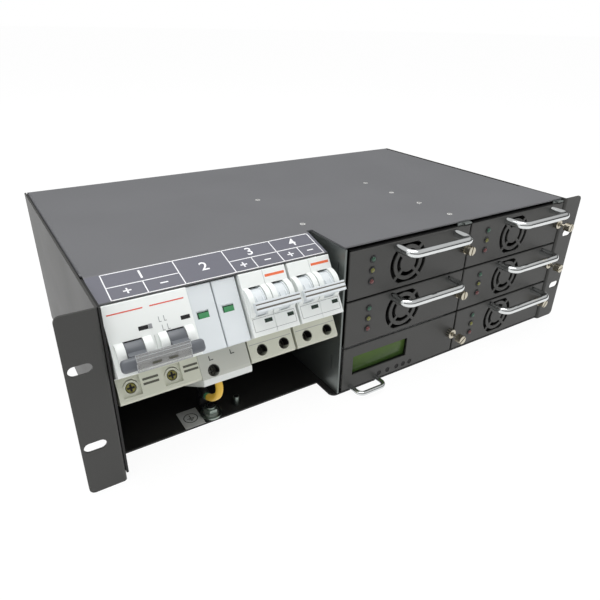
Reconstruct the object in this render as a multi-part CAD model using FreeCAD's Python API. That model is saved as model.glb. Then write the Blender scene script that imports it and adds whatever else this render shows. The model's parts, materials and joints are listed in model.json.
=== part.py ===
import FreeCAD, Part
import math
import os

# A 19-inch, three-unit DC power subrack: sheet-steel case with rack ears, a wiring bay with three
# DIN-rail devices on a tilted rail, and two columns of plug-in modules.
# Millimetres. X to the right, Y to the rear, Z up. The origin is the centre of the four rack
# slots, on the front face of the ears.

V = FreeCAD.Vector
X_AXIS = V(1, 0, 0)
Y_AXIS = V(0, 1, 0)
Z_AXIS = V(0, 0, 1)

# ---------------------------------------------------------------- driving dimensions

# Rack interface
RACK_WIDTH = 482.6
SLOT_PITCH_X = 465.1
SLOT_PITCH_Z = 57.15
SLOT_LENGTH = 14.0
SLOT_WIDTH = 7.0
EAR_CORNER_R = 4.0

# Case
CASE_W = 437.2
CASE_D = 262.0
CASE_H = 130.6
SIDE_T = 1.5
TRAY_T = 1.5
SHEET = 1.2
BEND_R = 1.0
SHEET_GAP = 0.2
FRONT_SETBACK = 4.8
TRAY_SETBACK = 2.6
TRAY_STEP = 5.2
BAY_FLOOR_SETBACK = 25.0
TRAY_CORNER_R = 5.0
SIDE_FLANGE = 16.0
COVER_FOLD_Y = 45.0
APRON_EDGE_Y = 18.5
APRON_DROP = 7.4
COVER_GAP = 0.8
COVER_LAP = 1.0
BAY_CLEAR = 4.6

# Divider between the bay and the modules
DIVIDER_X = -42.8
DIVIDER_T = 1.5
DIVIDER_SETBACK = 2.4
SLIT_W = 0.9
SLITS = ((10.0, 108.0, 9.0), (12.0, 20.6, 14.0))
WALL_FLANGE = 11.0
WALL_TAB = 8.0
TAB_Y = 1.0

# Module grid
COLUMNS = 2
ROWS = 3
COLUMN_GAP = 2.4
GRID_RIGHT = 0.7
ROW_Z0 = 2.6
GRID_TOP = 2.3
PANEL_GAP_X = 1.6
PANEL_GAP_Z = 1.5
PANEL_Y = 1.5
PANEL_T = 1.2
PANEL_EDGE = 0.5
SHELF_T = 1.2
SHELF_FRONT_Y = 12.0
SHELF_BACK_GAP = 14.0
RUNNER_T = 1.2
RUNNER_H = 6.8
SLIDE_GAP = 0.3
CASE_SIDE_GAP = 1.5
SCREW_MARGIN = 14.7
MODULE_WALL = 0.8
VENT = (30.0, 4.0)
VENT_X = 35.0
VENT_PITCH = 8.0

# Rectifier front
GRILLE_X = 59.0
GRILLE_Z = 20.6
GRILLE_R = (8.2, 11.7, 15.0, 18.7)
GRILLE_HALF_H = 16.8
SPOKE_W = 2.6
HANDLE_X = 45.0
HANDLE_SPAN = 64.0
HANDLE_Z = 36.0
HANDLE_REACH = 18.5
HANDLE_D = 6.4
HANDLE_BEND_R = 7.0
LED_X = 22.0
LED_Z = (12.6, 21.9, 31.0)
LED_D = 4.8
LED_GAP = 0.4
LED_PROUD = 0.6
LED_STEM = 1.2

# Thumbscrew
KNOB_D = 7.8
KNOB_L = 5.8
KNOB_SLOT = 1.2
SCREW_D = 3.0
SCREW_L = 12.0
SCREW_EDGE = 4.5
SCREW_Z = 20.2
SCREW_CLEAR = 0.3
COLLAR_D = 8.4
COLLAR_H = 3.6
SCREW_TRAVEL = 7.0

# Fan
FAN_SIZE = 38.0
FAN_DEPTH = 20.0
FAN_WALL = 0.9
FAN_TIP_GAP = 0.7
FAN_HUB_D = 17.0
FAN_BLADES = 7
BLADE_CHORD = 12.0
BLADE_RAKE = 42.0
BLADE_CAMBER = 1.5
BLADE_T = 1.0
FAN_SHAFT_D = 3.0
FAN_SHAFT_GAP = 0.05
FAN_FRONT_GAP = 0.4

# Rear connectors and bus
REAR_SPACE = 26.0
PLUG_SPACE = 10.3
BACKPLANE_T = 1.6
BOARD_GAP = 0.05
PLUG_SIZE = (32.0, 9.0)
PLUG_GAP = 0.4
SOCKET_WALL = 2.0
BUS_SIZE = (3.0, 20.0)
BUS_HEIGHTS = (36.0, 94.0)
PILLAR_D = 7.0
OUTLET = (86.0, 4.0)
OUTLET_PITCH = 7.5
CABLE_ENTRY = (64.0, 32.0)
CABLE_ENTRY_POS = (-130.0, 38.0)

# Monitor front
WINDOW_X = 9.8
WINDOW_Z = 13.3
WINDOW_SIZE = (59.0, 17.8)
WINDOW_DEPTH = 3.0
BUTTON_X = (39.6, 49.2, 59.6, 67.2, 74.8)
BUTTON_Z = 4.9
BUTTON_D = 4.2
BUTTON_L = 5.0
BUTTON_GAP = 0.3
GRIP_X = 8.2
GRIP_SPAN = 26.6
GRIP_Z = 3.2
GRIP_REACH = 14.5
GRIP_D = 4.0
GRIP_BEND_R = 5.0

# Tilted devices: the frame of the rail lies on the devices' common front face
RAIL_TILT = 31.4
FACE_Y = 16.7
FACE_DROP = 8.0
NOSE_H = 44.5
SHOULDER = 16.5
TERMINAL_H = 17.5
DEVICE_DEPTH = 66.0
RAIL_H = 35.0
RAIL_DEPTH = 7.5
RAIL_T = 1.0
RAIL_LIP = 4.0
RAIL_SEAT = 5.0
RAIL_FIT = 0.2
RAIL_PLATE_L = 110.0
POLE_W = 18.0
SEAM = 0.4

MAIN_POLE_W = 27.0
DEVICE_GAPS = (4.9, 0.2, 1.2, 2.1)

# Breaker toggles: pivot depth and height below the face's top edge, cheek radius
MAIN_PIVOT = (5.0, 31.2)
MAIN_CHEEK_R = 8.8
MAIN_BAR = (-14.0, 33.4, 6.2, 8.2)
MAIN_TOGGLE_W = 11.0
OUTPUT_PIVOT = (5.3, 20.6)
OUTPUT_CHEEK_R = 11.5
OUTPUT_BAR = (-11.0, 23.6, 4.4, 5.4)
OUTPUT_TOGGLE_W = 8.4
MAIN_CHEEK_MARGIN = 2.2
OUTPUT_CHEEK_MARGIN = 0.4
TOGGLE_GAP = 0.4

# Terminal screws: hole diameter, offset from the pole's middle, drop, depth of the head
MAIN_SCREW = (9.8, -4.8, 52.2, 2.4)
OUTPUT_SCREW = (8.4, 1.0, 54.6, 9.0)
SURGE_SCREW = (8.4, 0.0, 58.0, 7.0)
SCREW_HEAD_GAP = 0.3
SCREW_HEAD_T = 3.0
MAIN_RECESS = (12.0, 12.4, 1.8)
MAIN_ENTRY = 12.0
OUTPUT_ENTRY = 9.0
ENTRY_DEPTH = 21.0

# Surge protector
SURGE_FRONT = 3.0
SURGE_BASE_BOTTOM = 67.0
SURGE_RIDGE = (63.0, 1.0)
CARTRIDGE_H = 45.0
CARTRIDGE_DEPTH = 36.0
CARTRIDGE_GAP = 0.35
BLADE = (8.0, 1.2, 9.0)
BLADE_GAP = 0.3
STATUS_WINDOW = (2.8, 8.4, 17.3, 5.2)
STATUS_RECESS = 0.6

# Earth point
STUD_POS = (-142.0, 33.0)
STUD_D = 6.0
STUD_L = 8.4
SPARE_STUD_POS = (-119.5, 34.0)
SPARE_STUD_D = 5.0
SPARE_STUD_L = 7.4
WASHER_D = 17.0
WASHER_T = 1.4
NUT_AF = 10.0
NUT_H = 3.8
NUT_COLLAR = (8.2, 1.6)
LUG_T = 1.2
LUG_RING_D = 12.0
LUG_BARREL = (7.4, 8.0)
LUG_BARREL_POS = (-143.4, 46.0)
WIRE_D = 5.4
WIRE_ENTRY_DEPTH = 34.0
WIRE_ENTRY_X = 15.5
WIRE_INSIDE = 6.0
WIRE_EXIT = 6.0
WIRE_RISE = 9.0
WIRE_ROUTE = (
    (-145.2, 8.2, 36.6), (-146.6, 16.0, 29.4), (-147.2, 26.5, 24.4), (-145.6, 38.0, 22.6),
)

# ---------------------------------------------------------------- derived places

BASE_Z = -CASE_H / 2
TOP_Z = CASE_H / 2
SIDE_X = CASE_W / 2
INNER_X = SIDE_X - SIDE_T
COLUMN_X0 = DIVIDER_X + DIVIDER_T + COLUMN_GAP
COLUMN_PITCH = (SIDE_X - GRID_RIGHT - COLUMN_X0) / COLUMNS
ROW_PITCH = (CASE_H - GRID_TOP - ROW_Z0) / ROWS
PANEL_W = COLUMN_PITCH - PANEL_GAP_X
PANEL_H = ROW_PITCH - PANEL_GAP_Z
PANEL_BACK = PANEL_Y + PANEL_T
MODULE_FRONT = PANEL_BACK + SHEET_GAP
BACKPLANE_Y = CASE_D - REAR_SPACE
MODULE_BACK = BACKPLANE_Y - PLUG_SPACE
MODULE_X1 = PANEL_W - SCREW_MARGIN
MODULE_Z0 = 2 * SLIDE_GAP
MODULE_Z1 = ROW_PITCH - SHELF_T
UPRIGHT_Y = PANEL_BACK + 0.7
COVER_UNDER = TOP_Z - SHEET
WALL_TOP = COVER_UNDER - SHEET_GAP
BAY_X0 = -INNER_X + SHEET_GAP + SIDE_T
FACE_Z = CASE_H - FACE_DROP
MAIN_X = -SIDE_X + DEVICE_GAPS[0]
SURGE_X = MAIN_X + 2 * MAIN_POLE_W + DEVICE_GAPS[1]
OUTPUT_X = (
    SURGE_X + 2 * POLE_W + DEVICE_GAPS[2],
    SURGE_X + 4 * POLE_W + DEVICE_GAPS[2] + DEVICE_GAPS[3],
)
MAIN_CHEEK_W = (MAIN_POLE_W - MAIN_TOGGLE_W) / 2 - TOGGLE_GAP - MAIN_CHEEK_MARGIN
OUTPUT_CHEEK_W = (POLE_W - OUTPUT_TOGGLE_W) / 2 - TOGGLE_GAP - OUTPUT_CHEEK_MARGIN
NUT_Z = BASE_Z + TRAY_T + WASHER_T + LUG_T


# ---------------------------------------------------------------- shared operations

def box(x0, x1, y0, y1, z0, z1):
    return Part.makeBox(x1 - x0, y1 - y0, z1 - z0, V(x0, y0, z0))


def rod(radius, start, end):
    axis = end - start
    return Part.makeCylinder(radius, axis.Length, start, axis)


def fuse(shapes):
    joined = shapes[0].multiFuse(shapes[1:]) if len(shapes) > 1 else shapes[0]
    return joined.removeSplitter()


def save(node, shapes):
    group = shapes if isinstance(shapes, list) else [shapes]
    solids = [solid for shape in group for solid in shape.Solids]
    shape = solids[0] if len(solids) == 1 else Part.makeCompound(solids)
    shape.exportStep("parts/" + node + ".step")


def outline(points, plane, at):
    """A flat face from corner points; plane YZ reads (y, z), XZ reads (x, z), XY reads (x, y)."""
    place = {
        "YZ": lambda u, v: V(at, u, v),
        "XZ": lambda u, v: V(u, at, v),
        "XY": lambda u, v: V(u, v, at),
    }[plane]
    corners = [place(u, v) for u, v in points]
    return Part.Face(Part.makePolygon(corners + corners[:1]))


def extrude(points, plane, start, length):
    direction = {"YZ": X_AXIS, "XZ": Y_AXIS, "XY": Z_AXIS}[plane]
    return outline(points, plane, start).extrude(direction * length)


def corner_arcs(points, radii):
    """Cut each inner corner of an open path by an arc: a list of straight or arc pieces."""
    pieces = []
    start = points[0]
    for before, corner, after, radius in zip(points, points[1:], points[2:], radii):
        into = (corner - before).normalize()
        out = (after - corner).normalize()
        turn = into.getAngle(out)
        reach = radius * math.tan(turn / 2)
        first = corner - into * reach
        last = corner + out * reach
        inward = (out - into).normalize()
        centre = corner + inward * (radius / math.cos(turn / 2))
        middle = centre - inward * radius
        if (first - start).Length > 1e-6:
            pieces.append(Part.LineSegment(start, first))
        pieces.append(Part.Arc(first, middle, last))
        start = last
    pieces.append(Part.LineSegment(start, points[-1]))
    return pieces


def folded(points, thickness, plane, start, length, bend=BEND_R):
    """Bent sheet: a path of (u, v) corners, thickened to its left, with round bends."""
    path = [V(u, v, 0) for u, v in points]
    steps = [(b - a).normalize() for a, b in zip(path, path[1:])]
    normals = [V(-s.y, s.x, 0) for s in steps]
    offset = [path[0] + normals[0] * thickness]
    near_radii = []
    far_radii = []
    for corner, n0, n1, s0, s1 in zip(path[1:], normals, normals[1:], steps, steps[1:]):
        offset.append(corner + (n0 + n1) * (thickness / (1 + n0.dot(n1))))
        left_turn = s0.x * s1.y - s0.y * s1.x > 0
        near_radii.append(bend + thickness if left_turn else bend)
        far_radii.append(bend if left_turn else bend + thickness)
    offset.append(path[-1] + normals[-1] * thickness)
    edges = [piece.toShape() for piece in corner_arcs(path, near_radii)]
    edges.append(Part.makeLine(path[-1], offset[-1]))
    edges += [piece.toShape() for piece in corner_arcs(offset, far_radii)]
    edges.append(Part.makeLine(path[0], offset[0]))
    face = Part.Face(Part.Wire(Part.__sortEdges__(edges)))
    solid = face.extrude(V(0, 0, length))
    solid.Placement = {
        "XY": FreeCAD.Placement(V(0, 0, start), FreeCAD.Rotation()),
        "XZ": FreeCAD.Placement(V(0, start + length, 0), FreeCAD.Rotation(X_AXIS, 90)),
        "YZ": FreeCAD.Placement(V(start, 0, 0), FreeCAD.Rotation(V(1, 1, 1), 120)),
    }[plane]
    return solid


def tube(points, radii, diameter):
    """Round bar along straight runs joined by tangent arcs."""
    spans = []
    for piece in corner_arcs(points, radii):
        edge = piece.toShape()
        start, end = edge.FirstParameter, edge.LastParameter
        disc = Part.Face(Part.Wire(Part.makeCircle(diameter / 2, edge.valueAt(start), edge.tangentAt(start))))
        if edge.Curve.TypeId == "Part::GeomCircle":
            spans.append(disc.revolve(edge.Curve.Center, edge.Curve.Axis, math.degrees(end - start)))
        else:
            spans.append(disc.extrude(edge.valueAt(end) - edge.valueAt(start)))
    return spans[0].multiFuse(spans[1:])


def slot(length, width, centre, depth, along=X_AXIS):
    """Round-ended slot cutter through Y, its length along the given axis."""
    half = along * (length / 2 - width / 2)
    base = centre - Y_AXIS * (depth / 2)
    across = along.cross(Y_AXIS) * (width / 2)
    corners = [base - half - across, base + half - across, base + half + across, base - half + across]
    middle = Part.Face(Part.makePolygon(corners + corners[:1])).extrude(Y_AXIS * depth)
    ends = [Part.makeCylinder(width / 2, depth, base + half * side, Y_AXIS) for side in (-1, 1)]
    return middle.multiFuse(ends).removeSplitter()


def round_edges(shape, radius, chosen):
    edges = [edge for edge in shape.Edges if chosen(edge)]
    return shape.makeFillet(radius, edges)


def runs_along(edge, axis):
    start, end = edge.Vertexes[0].Point, edge.Vertexes[-1].Point
    span = end - start
    return span.Length > 1e-6 and abs(abs(span.normalize().dot(axis)) - 1) < 1e-6


def tilted(shape):
    """Move a device from its own frame (depth along Y, face top at the origin) to the rail."""
    moved = shape.copy()
    moved.rotate(V(0, 0, 0), X_AXIS, -RAIL_TILT)
    moved.translate(V(0, FACE_Y, BASE_Z + FACE_Z))
    return moved


# ---------------------------------------------------------------- case

def side_panel(side):
    """Side sheet with the rack ear turned outwards at its front edge."""
    plan = [(-RACK_WIDTH / 2, 0), (-INNER_X, 0), (-INNER_X, CASE_D)]
    sheet = folded(plan, SIDE_T, "XY", BASE_Z, CASE_H)
    sheet = round_edges(
        sheet, EAR_CORNER_R,
        lambda e: runs_along(e, Y_AXIS) and abs(e.CenterOfMass.x + RACK_WIDTH / 2) < 0.01,
    )
    for up in (-1, 1):
        centre = V(-SLOT_PITCH_X / 2, SIDE_T / 2, up * SLOT_PITCH_Z / 2)
        sheet = sheet.cut(slot(SLOT_LENGTH, SLOT_WIDTH, centre, 4 * SIDE_T))
    if side > 0:
        sheet = sheet.mirror(V(0, 0, 0), X_AXIS)
    return sheet


def bottom_tray():
    """Floor, cut back in front of the wiring bay, with side flanges turned up."""
    step_x = DIVIDER_X - TRAY_STEP
    edge_x = INNER_X - SHEET_GAP
    r = TRAY_CORNER_R
    floor = box(-edge_x, edge_x, BAY_FLOOR_SETBACK, CASE_D - SHEET - SHEET_GAP, 0, TRAY_T)
    nose = box(step_x, edge_x, TRAY_SETBACK, BAY_FLOOR_SETBACK + 1, 0, TRAY_T)
    nose = round_edges(
        nose, r,
        lambda e: runs_along(e, Z_AXIS)
        and (e.CenterOfMass - V(step_x, TRAY_SETBACK, TRAY_T / 2)).Length < 0.01,
    )
    plan = [(edge_x - TRAY_T - 10, 0), (edge_x, 0), (edge_x, SIDE_FLANGE)]
    flange_y0, flange_y1 = RAIL_PLATE_L + 3, CASE_D - 12
    right = folded(plan, TRAY_T, "XZ", flange_y0, flange_y1 - flange_y0)
    left = right.mirror(V(0, 0, 0), X_AXIS)
    corner_trim = [box(edge_x - TRAY_T - BEND_R, edge_x + 1, flange_y0, flange_y1, -1, TRAY_T + 1)]
    corner_trim.append(corner_trim[0].mirror(V(0, 0, 0), X_AXIS))
    tray = fuse([floor, nose]).cut(Part.makeCompound(corner_trim))
    tray = fuse([tray, right, left])
    tray.translate(V(0, 0, BASE_Z))
    return tray


def top_cover():
    """Cover sheet: full depth over the modules, bent down as a label apron over the bay."""
    edge_x = INNER_X - COVER_GAP
    notch_x = DIVIDER_X + COVER_LAP
    drop_y = COVER_FOLD_Y + 7
    plate = box(-edge_x, edge_x, COVER_FOLD_Y + 3, CASE_D, COVER_UNDER, TOP_Z)
    front = box(notch_x, edge_x, FRONT_SETBACK, COVER_FOLD_Y + 3, COVER_UNDER, TOP_Z)
    bend = folded(
        [(COVER_FOLD_Y + 3, TOP_Z), (COVER_FOLD_Y, TOP_Z), (APRON_EDGE_Y, TOP_Z - APRON_DROP)],
        SHEET, "YZ", BAY_X0 + SHEET_GAP, DIVIDER_X - BAY_CLEAR - BAY_X0 - SHEET_GAP,
    )
    side = folded(
        [(edge_x, TOP_Z - SIDE_FLANGE), (edge_x, TOP_Z), (edge_x - 10, TOP_Z)],
        SHEET, "XZ", drop_y, CASE_D - drop_y - SHEET - 1,
    )
    trim = box(edge_x - SHEET - BEND_R, edge_x + 1, drop_y, CASE_D - SHEET - 1, COVER_UNDER - 1, TOP_Z + 1)
    trims = Part.makeCompound([trim, trim.mirror(V(0, 0, 0), X_AXIS)])
    return fuse([fuse([plate, front]).cut(trims), bend, side, side.mirror(V(0, 0, 0), X_AXIS)])


def divider_wall():
    """Wall between bay and modules: plain front edge, two slits, top and bottom flanges."""
    z0 = BASE_Z + TRAY_T + SHEET_GAP
    back = CASE_D - SHEET - 2 * SHEET_GAP
    x1 = DIVIDER_X + DIVIDER_T
    web = box(DIVIDER_X, x1, DIVIDER_SETBACK, back, z0, WALL_TOP)
    cutters = [box(DIVIDER_X - 1, x1 + 1, BACKPLANE_Y - 2, BACKPLANE_Y + 12, BASE_Z + 16, TOP_Z - 14)]
    for y, z, height in SLITS:
        cutters.append(box(DIVIDER_X - 1, x1 + 1, y - SLIT_W / 2, y + SLIT_W / 2,
                           BASE_Z + z, BASE_Z + z + height))
    top, foot, tongue = wall_flanges(DIVIDER_X, WALL_FLANGE, z0, back)
    return fuse([web.cut(Part.makeCompound(cutters)), top, foot])


def wall_flanges(x, reach, z0, back):
    """Top and foot flanges of an upright sheet at x; the top one shows a tab in front of the cover."""
    side = 1 if reach > 0 else -1
    near, far, tab = x, x + reach, x + side * WALL_TAB
    ends = (min(near, far), max(near, far))
    top = box(*ends, UPRIGHT_Y + 5, back, WALL_TOP - SHEET, WALL_TOP)
    foot = box(*ends, UPRIGHT_Y + 20, back, z0, z0 + SHEET)
    tongue = box(min(near, tab), max(near, tab), TAB_Y, UPRIGHT_Y + 6, WALL_TOP - SHEET, WALL_TOP)
    return [top, foot, tongue]


def screw_x(column):
    return COLUMN_X0 + column * COLUMN_PITCH + PANEL_W - SCREW_EDGE


def module_uprights():
    """Column wall and right-hand upright: angles whose front flanges take the thumbscrews."""
    z0 = BASE_Z + TRAY_T + SHEET_GAP
    height = WALL_TOP - z0
    uprights = []
    for column in range(COLUMNS):
        last = column == COLUMNS - 1
        right = COLUMN_X0 + column * COLUMN_PITCH + PANEL_W - 0.1
        if last:
            right = INNER_X - SHEET_GAP - TRAY_T - BEND_R - SHEET_GAP
        left = COLUMN_X0 + column * COLUMN_PITCH + MODULE_X1 + 2 * SLIDE_GAP
        back = BACKPLANE_Y - 1.0
        sheet = folded([(left, UPRIGHT_Y), (right, UPRIGHT_Y), (right, back)], SHEET, "XY", z0, height)
        for row in range(ROWS):
            z = BASE_Z + ROW_Z0 + row * ROW_PITCH + SCREW_Z
            hole = rod(SCREW_D / 2 + SCREW_CLEAR, V(screw_x(column), 0, z), V(screw_x(column), 20, z))
            sheet = sheet.cut(hole)
        uprights.append(fuse([sheet] + wall_flanges(right, left - right, z0, back)))
    return uprights


def module_shelves():
    """A flat shelf under each module on two side runners; the lowest pair lies on the floor."""
    shelves = []
    y0, y1 = SHELF_FRONT_Y, BACKPLANE_Y - SHELF_BACK_GAP
    for column in range(COLUMNS):
        x0 = COLUMN_X0 + column * COLUMN_PITCH
        left = DIVIDER_X + DIVIDER_T + SHEET_GAP if column == 0 else x0 - 1.0
        right = x0 + MODULE_X1 + 2 * SLIDE_GAP + RUNNER_T
        for row in range(ROWS):
            top = BASE_Z + ROW_Z0 + row * ROW_PITCH + SLIDE_GAP
            if row == 0:
                floor = BASE_Z + TRAY_T + SHEET_GAP
                shelves.append(box(left + WALL_FLANGE, right - RUNNER_T, y0, y1, floor, top))
                continue
            under = top - SHELF_T
            shelves.append(box(left, right, y0, y1, under, top))
            for edge in (left, right - RUNNER_T):
                shelves.append(box(edge, edge + RUNNER_T, y0, y1, under - RUNNER_H, under))
    return shelves


def rear_panel():
    """Rear sheet with air outlet slots behind each module, a cable entry and board pillars."""
    y0 = CASE_D - SHEET
    edge_x = INNER_X - SHEET_GAP
    panel = box(-edge_x, edge_x, y0, CASE_D, BASE_Z, COVER_UNDER - SHEET_GAP)
    cutters = []
    for column, row in module_places():
        x = COLUMN_X0 + column * COLUMN_PITCH + (MODULE_X1 + CASE_SIDE_GAP) / 2
        z = BASE_Z + ROW_Z0 + row * ROW_PITCH + PANEL_H / 2
        for step in (-1.5, -0.5, 0.5, 1.5):
            zc = z + step * OUTLET_PITCH
            cutters.append(box(x - OUTLET[0] / 2, x + OUTLET[0] / 2, y0 - 1, CASE_D + 1,
                               zc - OUTLET[1] / 2, zc + OUTLET[1] / 2))
    entry = slot(*CABLE_ENTRY, V(CABLE_ENTRY_POS[0], CASE_D, BASE_Z + CABLE_ENTRY_POS[1]), 6.0)
    panel = panel.cut(Part.makeCompound(cutters + [entry]))
    pillars = [
        rod(PILLAR_D / 2, V(x, BACKPLANE_Y + BACKPLANE_T + SHEET_GAP, z), V(x, y0 + 0.5, z))
        for x, z in pillar_places()
    ]
    return fuse([panel] + pillars)


def pillar_places():
    xs = (COLUMN_X0 + 6.0, COLUMN_X0 + COLUMN_PITCH - 6.0, COLUMN_X0 + COLUMNS * COLUMN_PITCH - 20.0)
    return [(x, BASE_Z + h) for x in xs for h in (9.0, CASE_H - 12.0)]


def module_places():
    return [(column, row) for column in range(COLUMNS) for row in range(ROWS)]


# ---------------------------------------------------------------- wiring bay

def rail_line():
    """Height of the rail's middle in the devices' frame."""
    return -NOSE_H / 2


def din_rail():
    """Top-hat rail on a tall plate at the left wall and a small one at the divider."""
    seat = DEVICE_DEPTH - RAIL_SEAT + RAIL_FIT
    mid = rail_line()
    half = RAIL_H / 2
    hat = half - RAIL_LIP
    path = [
        (seat, mid + half), (seat, mid + hat), (seat + RAIL_DEPTH, mid + hat),
        (seat + RAIL_DEPTH, mid - hat), (seat, mid - hat), (seat, mid - half),
    ]
    x0 = -INNER_X + SHEET_GAP
    x1 = DIVIDER_X - SHEET_GAP
    rail_x0 = x0 + SIDE_T + SHEET_GAP
    rail_x1 = x1 - SIDE_T - SHEET_GAP
    rail = tilted(folded(path, RAIL_T, "YZ", rail_x0, rail_x1 - rail_x0, bend=0.5))
    tab_y = seat + RAIL_DEPTH + RAIL_T + SHEET_GAP
    tab_l = tilted(box(x0, x0 + 18, tab_y, tab_y + SIDE_T, mid - hat + 2, mid + hat - 2))
    tab_r = tilted(box(x1 - 18, x1, tab_y, tab_y + SIDE_T, mid - hat + 2, mid + hat - 2))
    under_flange = TOP_Z - SIDE_FLANGE - 2
    plate_l = extrude(
        [(1.0, BASE_Z + 5.5), (RAIL_PLATE_L, BASE_Z + 22.0), (RAIL_PLATE_L, under_flange),
         (COVER_FOLD_Y + 4, under_flange),
         (COVER_FOLD_Y + 4, COVER_UNDER - 1), (COVER_FOLD_Y - 1, TOP_Z - 0.8), (1.0, TOP_Z - 0.8)],
        "YZ", x0, SIDE_T,
    )
    plate_r = tilted(box(x1 - SIDE_T, x1, tab_y - 18, tab_y + 6, mid - hat, mid + hat))
    return [rail, fuse([plate_l, tab_l]), fuse([plate_r, tab_r])]


def device_profile(front, shoulder_top, terminal_bottom):
    """Side outline of a DIN-rail device: nose, stepped terminals, hooked rail seat at the back."""
    mid = rail_line()
    gap = RAIL_H / 2 + RAIL_FIT + 0.2
    hook = 1.8
    seat = DEVICE_DEPTH - RAIL_SEAT
    groove = seat + RAIL_T + 0.6
    return [
        (front, 0), (front, -NOSE_H), (SHOULDER, -NOSE_H), (SHOULDER, terminal_bottom + 1.5),
        (SHOULDER + 1.5, terminal_bottom),
        (DEVICE_DEPTH, terminal_bottom), (DEVICE_DEPTH, mid - gap + hook),
        (groove, mid - gap + hook), (groove, mid - gap), (seat, mid - gap),
        (seat, mid + gap), (groove, mid + gap), (groove, mid + gap - hook),
        (DEVICE_DEPTH, mid + gap - hook),
        (DEVICE_DEPTH, shoulder_top), (SHOULDER + 3.5, shoulder_top), (SHOULDER + 1.0, shoulder_top - 2.5),
        (SHOULDER + 1.0, 0),
    ]


def breaker_case(x0, pole_w, pivot, cheek_r, toggle_w, cheek_w, screw, entry, recess=None):
    """Two-pole moulded case: cheeks round each toggle, terminal screw wells, cable entries."""
    width = 2 * pole_w
    depth_c, drop_c = pivot
    hole_d, offset, drop, head_depth = screw
    bottom = -NOSE_H - TERMINAL_H
    body = extrude(device_profile(0, TERMINAL_H - 1, bottom), "YZ", x0, width)
    body = round_edges(
        body, 0.8,
        lambda e: runs_along(e, X_AXIS) and e.CenterOfMass.y < 0.01,
    )
    parts = [body]
    cutters = []
    for pole in range(2):
        middle = x0 + (pole + 0.5) * pole_w
        half = toggle_w / 2 + TOGGLE_GAP + cheek_w
        cheek = rod(cheek_r, V(middle - half, depth_c, -drop_c), V(middle + half, depth_c, -drop_c))
        parts.append(cheek.common(box(middle - half, middle + half, -30, depth_c, -60, 5)))
        gap = toggle_w / 2 + TOGGLE_GAP
        drum_ends = [V(middle + side * gap, depth_c, -drop_c) for side in (-1, 1)]
        cutters.append(rod(cheek_r + 0.01, *drum_ends))
        x = middle + offset
        head_y = SHOULDER + head_depth
        cutters.append(rod(hole_d / 2, V(x, 0, -drop), V(x, head_y + SCREW_HEAD_T + SCREW_HEAD_GAP, -drop)))
        if recess:
            w, h, depth = recess
            cutters.append(box(x - w / 2, x + w / 2, SHOULDER - 1, SHOULDER + depth,
                               -drop - h / 2, -drop + h / 2))
        entry_y = SHOULDER + ENTRY_DEPTH
        cutters.append(box(middle - entry / 2, middle + entry / 2, entry_y - entry / 2, entry_y + entry / 2,
                           bottom - 1, bottom + entry))
    seam = x0 + pole_w
    cutters.append(box(seam - SEAM / 2, seam + SEAM / 2, -1, 0.6, -NOSE_H - 1, 1))
    return tilted(fuse(parts).cut(Part.makeCompound(cutters)))


def breaker_toggle(x0, pole_w, pivot, cheek_r, toggle_w, bar, end_gap):
    """Two toggle drums joined by a tie bar, at rest in the lower (off) position."""
    depth_c, drop_c = pivot
    bar_y, bar_drop, bar_t, bar_h = bar
    drum_r = cheek_r - TOGGLE_GAP
    link = box(x0 + end_gap, x0 + 2 * pole_w - end_gap, bar_y, bar_y + bar_t, -bar_drop - bar_h, -bar_drop)
    link = round_edges(link, 1.4, lambda e: runs_along(e, X_AXIS) and e.CenterOfMass.y < bar_y + 0.1)
    parts = [link]
    for pole in range(2):
        middle = x0 + (pole + 0.5) * pole_w
        ends = (middle - toggle_w / 2, middle + toggle_w / 2)
        parts.append(rod(drum_r, V(ends[0], depth_c, -drop_c), V(ends[1], depth_c, -drop_c)))
        arm = [
            (bar_y + bar_t - 1, -bar_drop - 0.6), (bar_y + bar_t - 1, -bar_drop - bar_h + 0.6),
            (depth_c, -drop_c - 3.0), (depth_c, -drop_c + 4.0),
        ]
        parts.append(extrude(arm, "YZ", ends[0], toggle_w))
    return tilted(fuse(parts))


def surge_base():
    """U-shaped base with a terminal block below; blade slots in its back wall take the cartridges."""
    width = 2 * POLE_W
    back_wall = SURGE_FRONT + CARTRIDGE_DEPTH + CARTRIDGE_GAP
    profile = device_profile(SURGE_FRONT, TERMINAL_H - 1, -SURGE_BASE_BOTTOM)
    corner = profile.index((SHOULDER, -SURGE_BASE_BOTTOM + 1.5))
    ridge, lip = SURGE_RIDGE
    profile[corner:corner] = [(SHOULDER, -ridge + 2.5), (SHOULDER - lip, -ridge)]
    body = extrude(profile, "YZ", SURGE_X, width)
    pocket = box(SURGE_X - 1, SURGE_X + width + 1, -1, back_wall, -CARTRIDGE_H - CARTRIDGE_GAP, CARTRIDGE_GAP)
    cutters = [pocket]
    for pole in range(2):
        middle = SURGE_X + (pole + 0.5) * POLE_W
        w, t, reach = BLADE
        for drop in (10.0, CARTRIDGE_H - 10.0):
            cutters.append(box(middle - w / 2 - BLADE_GAP, middle + w / 2 + BLADE_GAP,
                               back_wall - 1, back_wall + reach + 1,
                               -drop - t / 2 - BLADE_GAP, -drop + t / 2 + BLADE_GAP))
    hole_d, offset, drop, head_depth = SURGE_SCREW
    first = SURGE_X + POLE_W / 2 + offset
    hole_end = SHOULDER + head_depth + SCREW_HEAD_T + SCREW_HEAD_GAP
    cutters.append(rod(hole_d / 2, V(first, 0, -drop), V(first, hole_end, -drop)))
    cutters.append(wire_entry())
    return tilted(body.cut(Part.makeCompound(cutters)))


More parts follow.
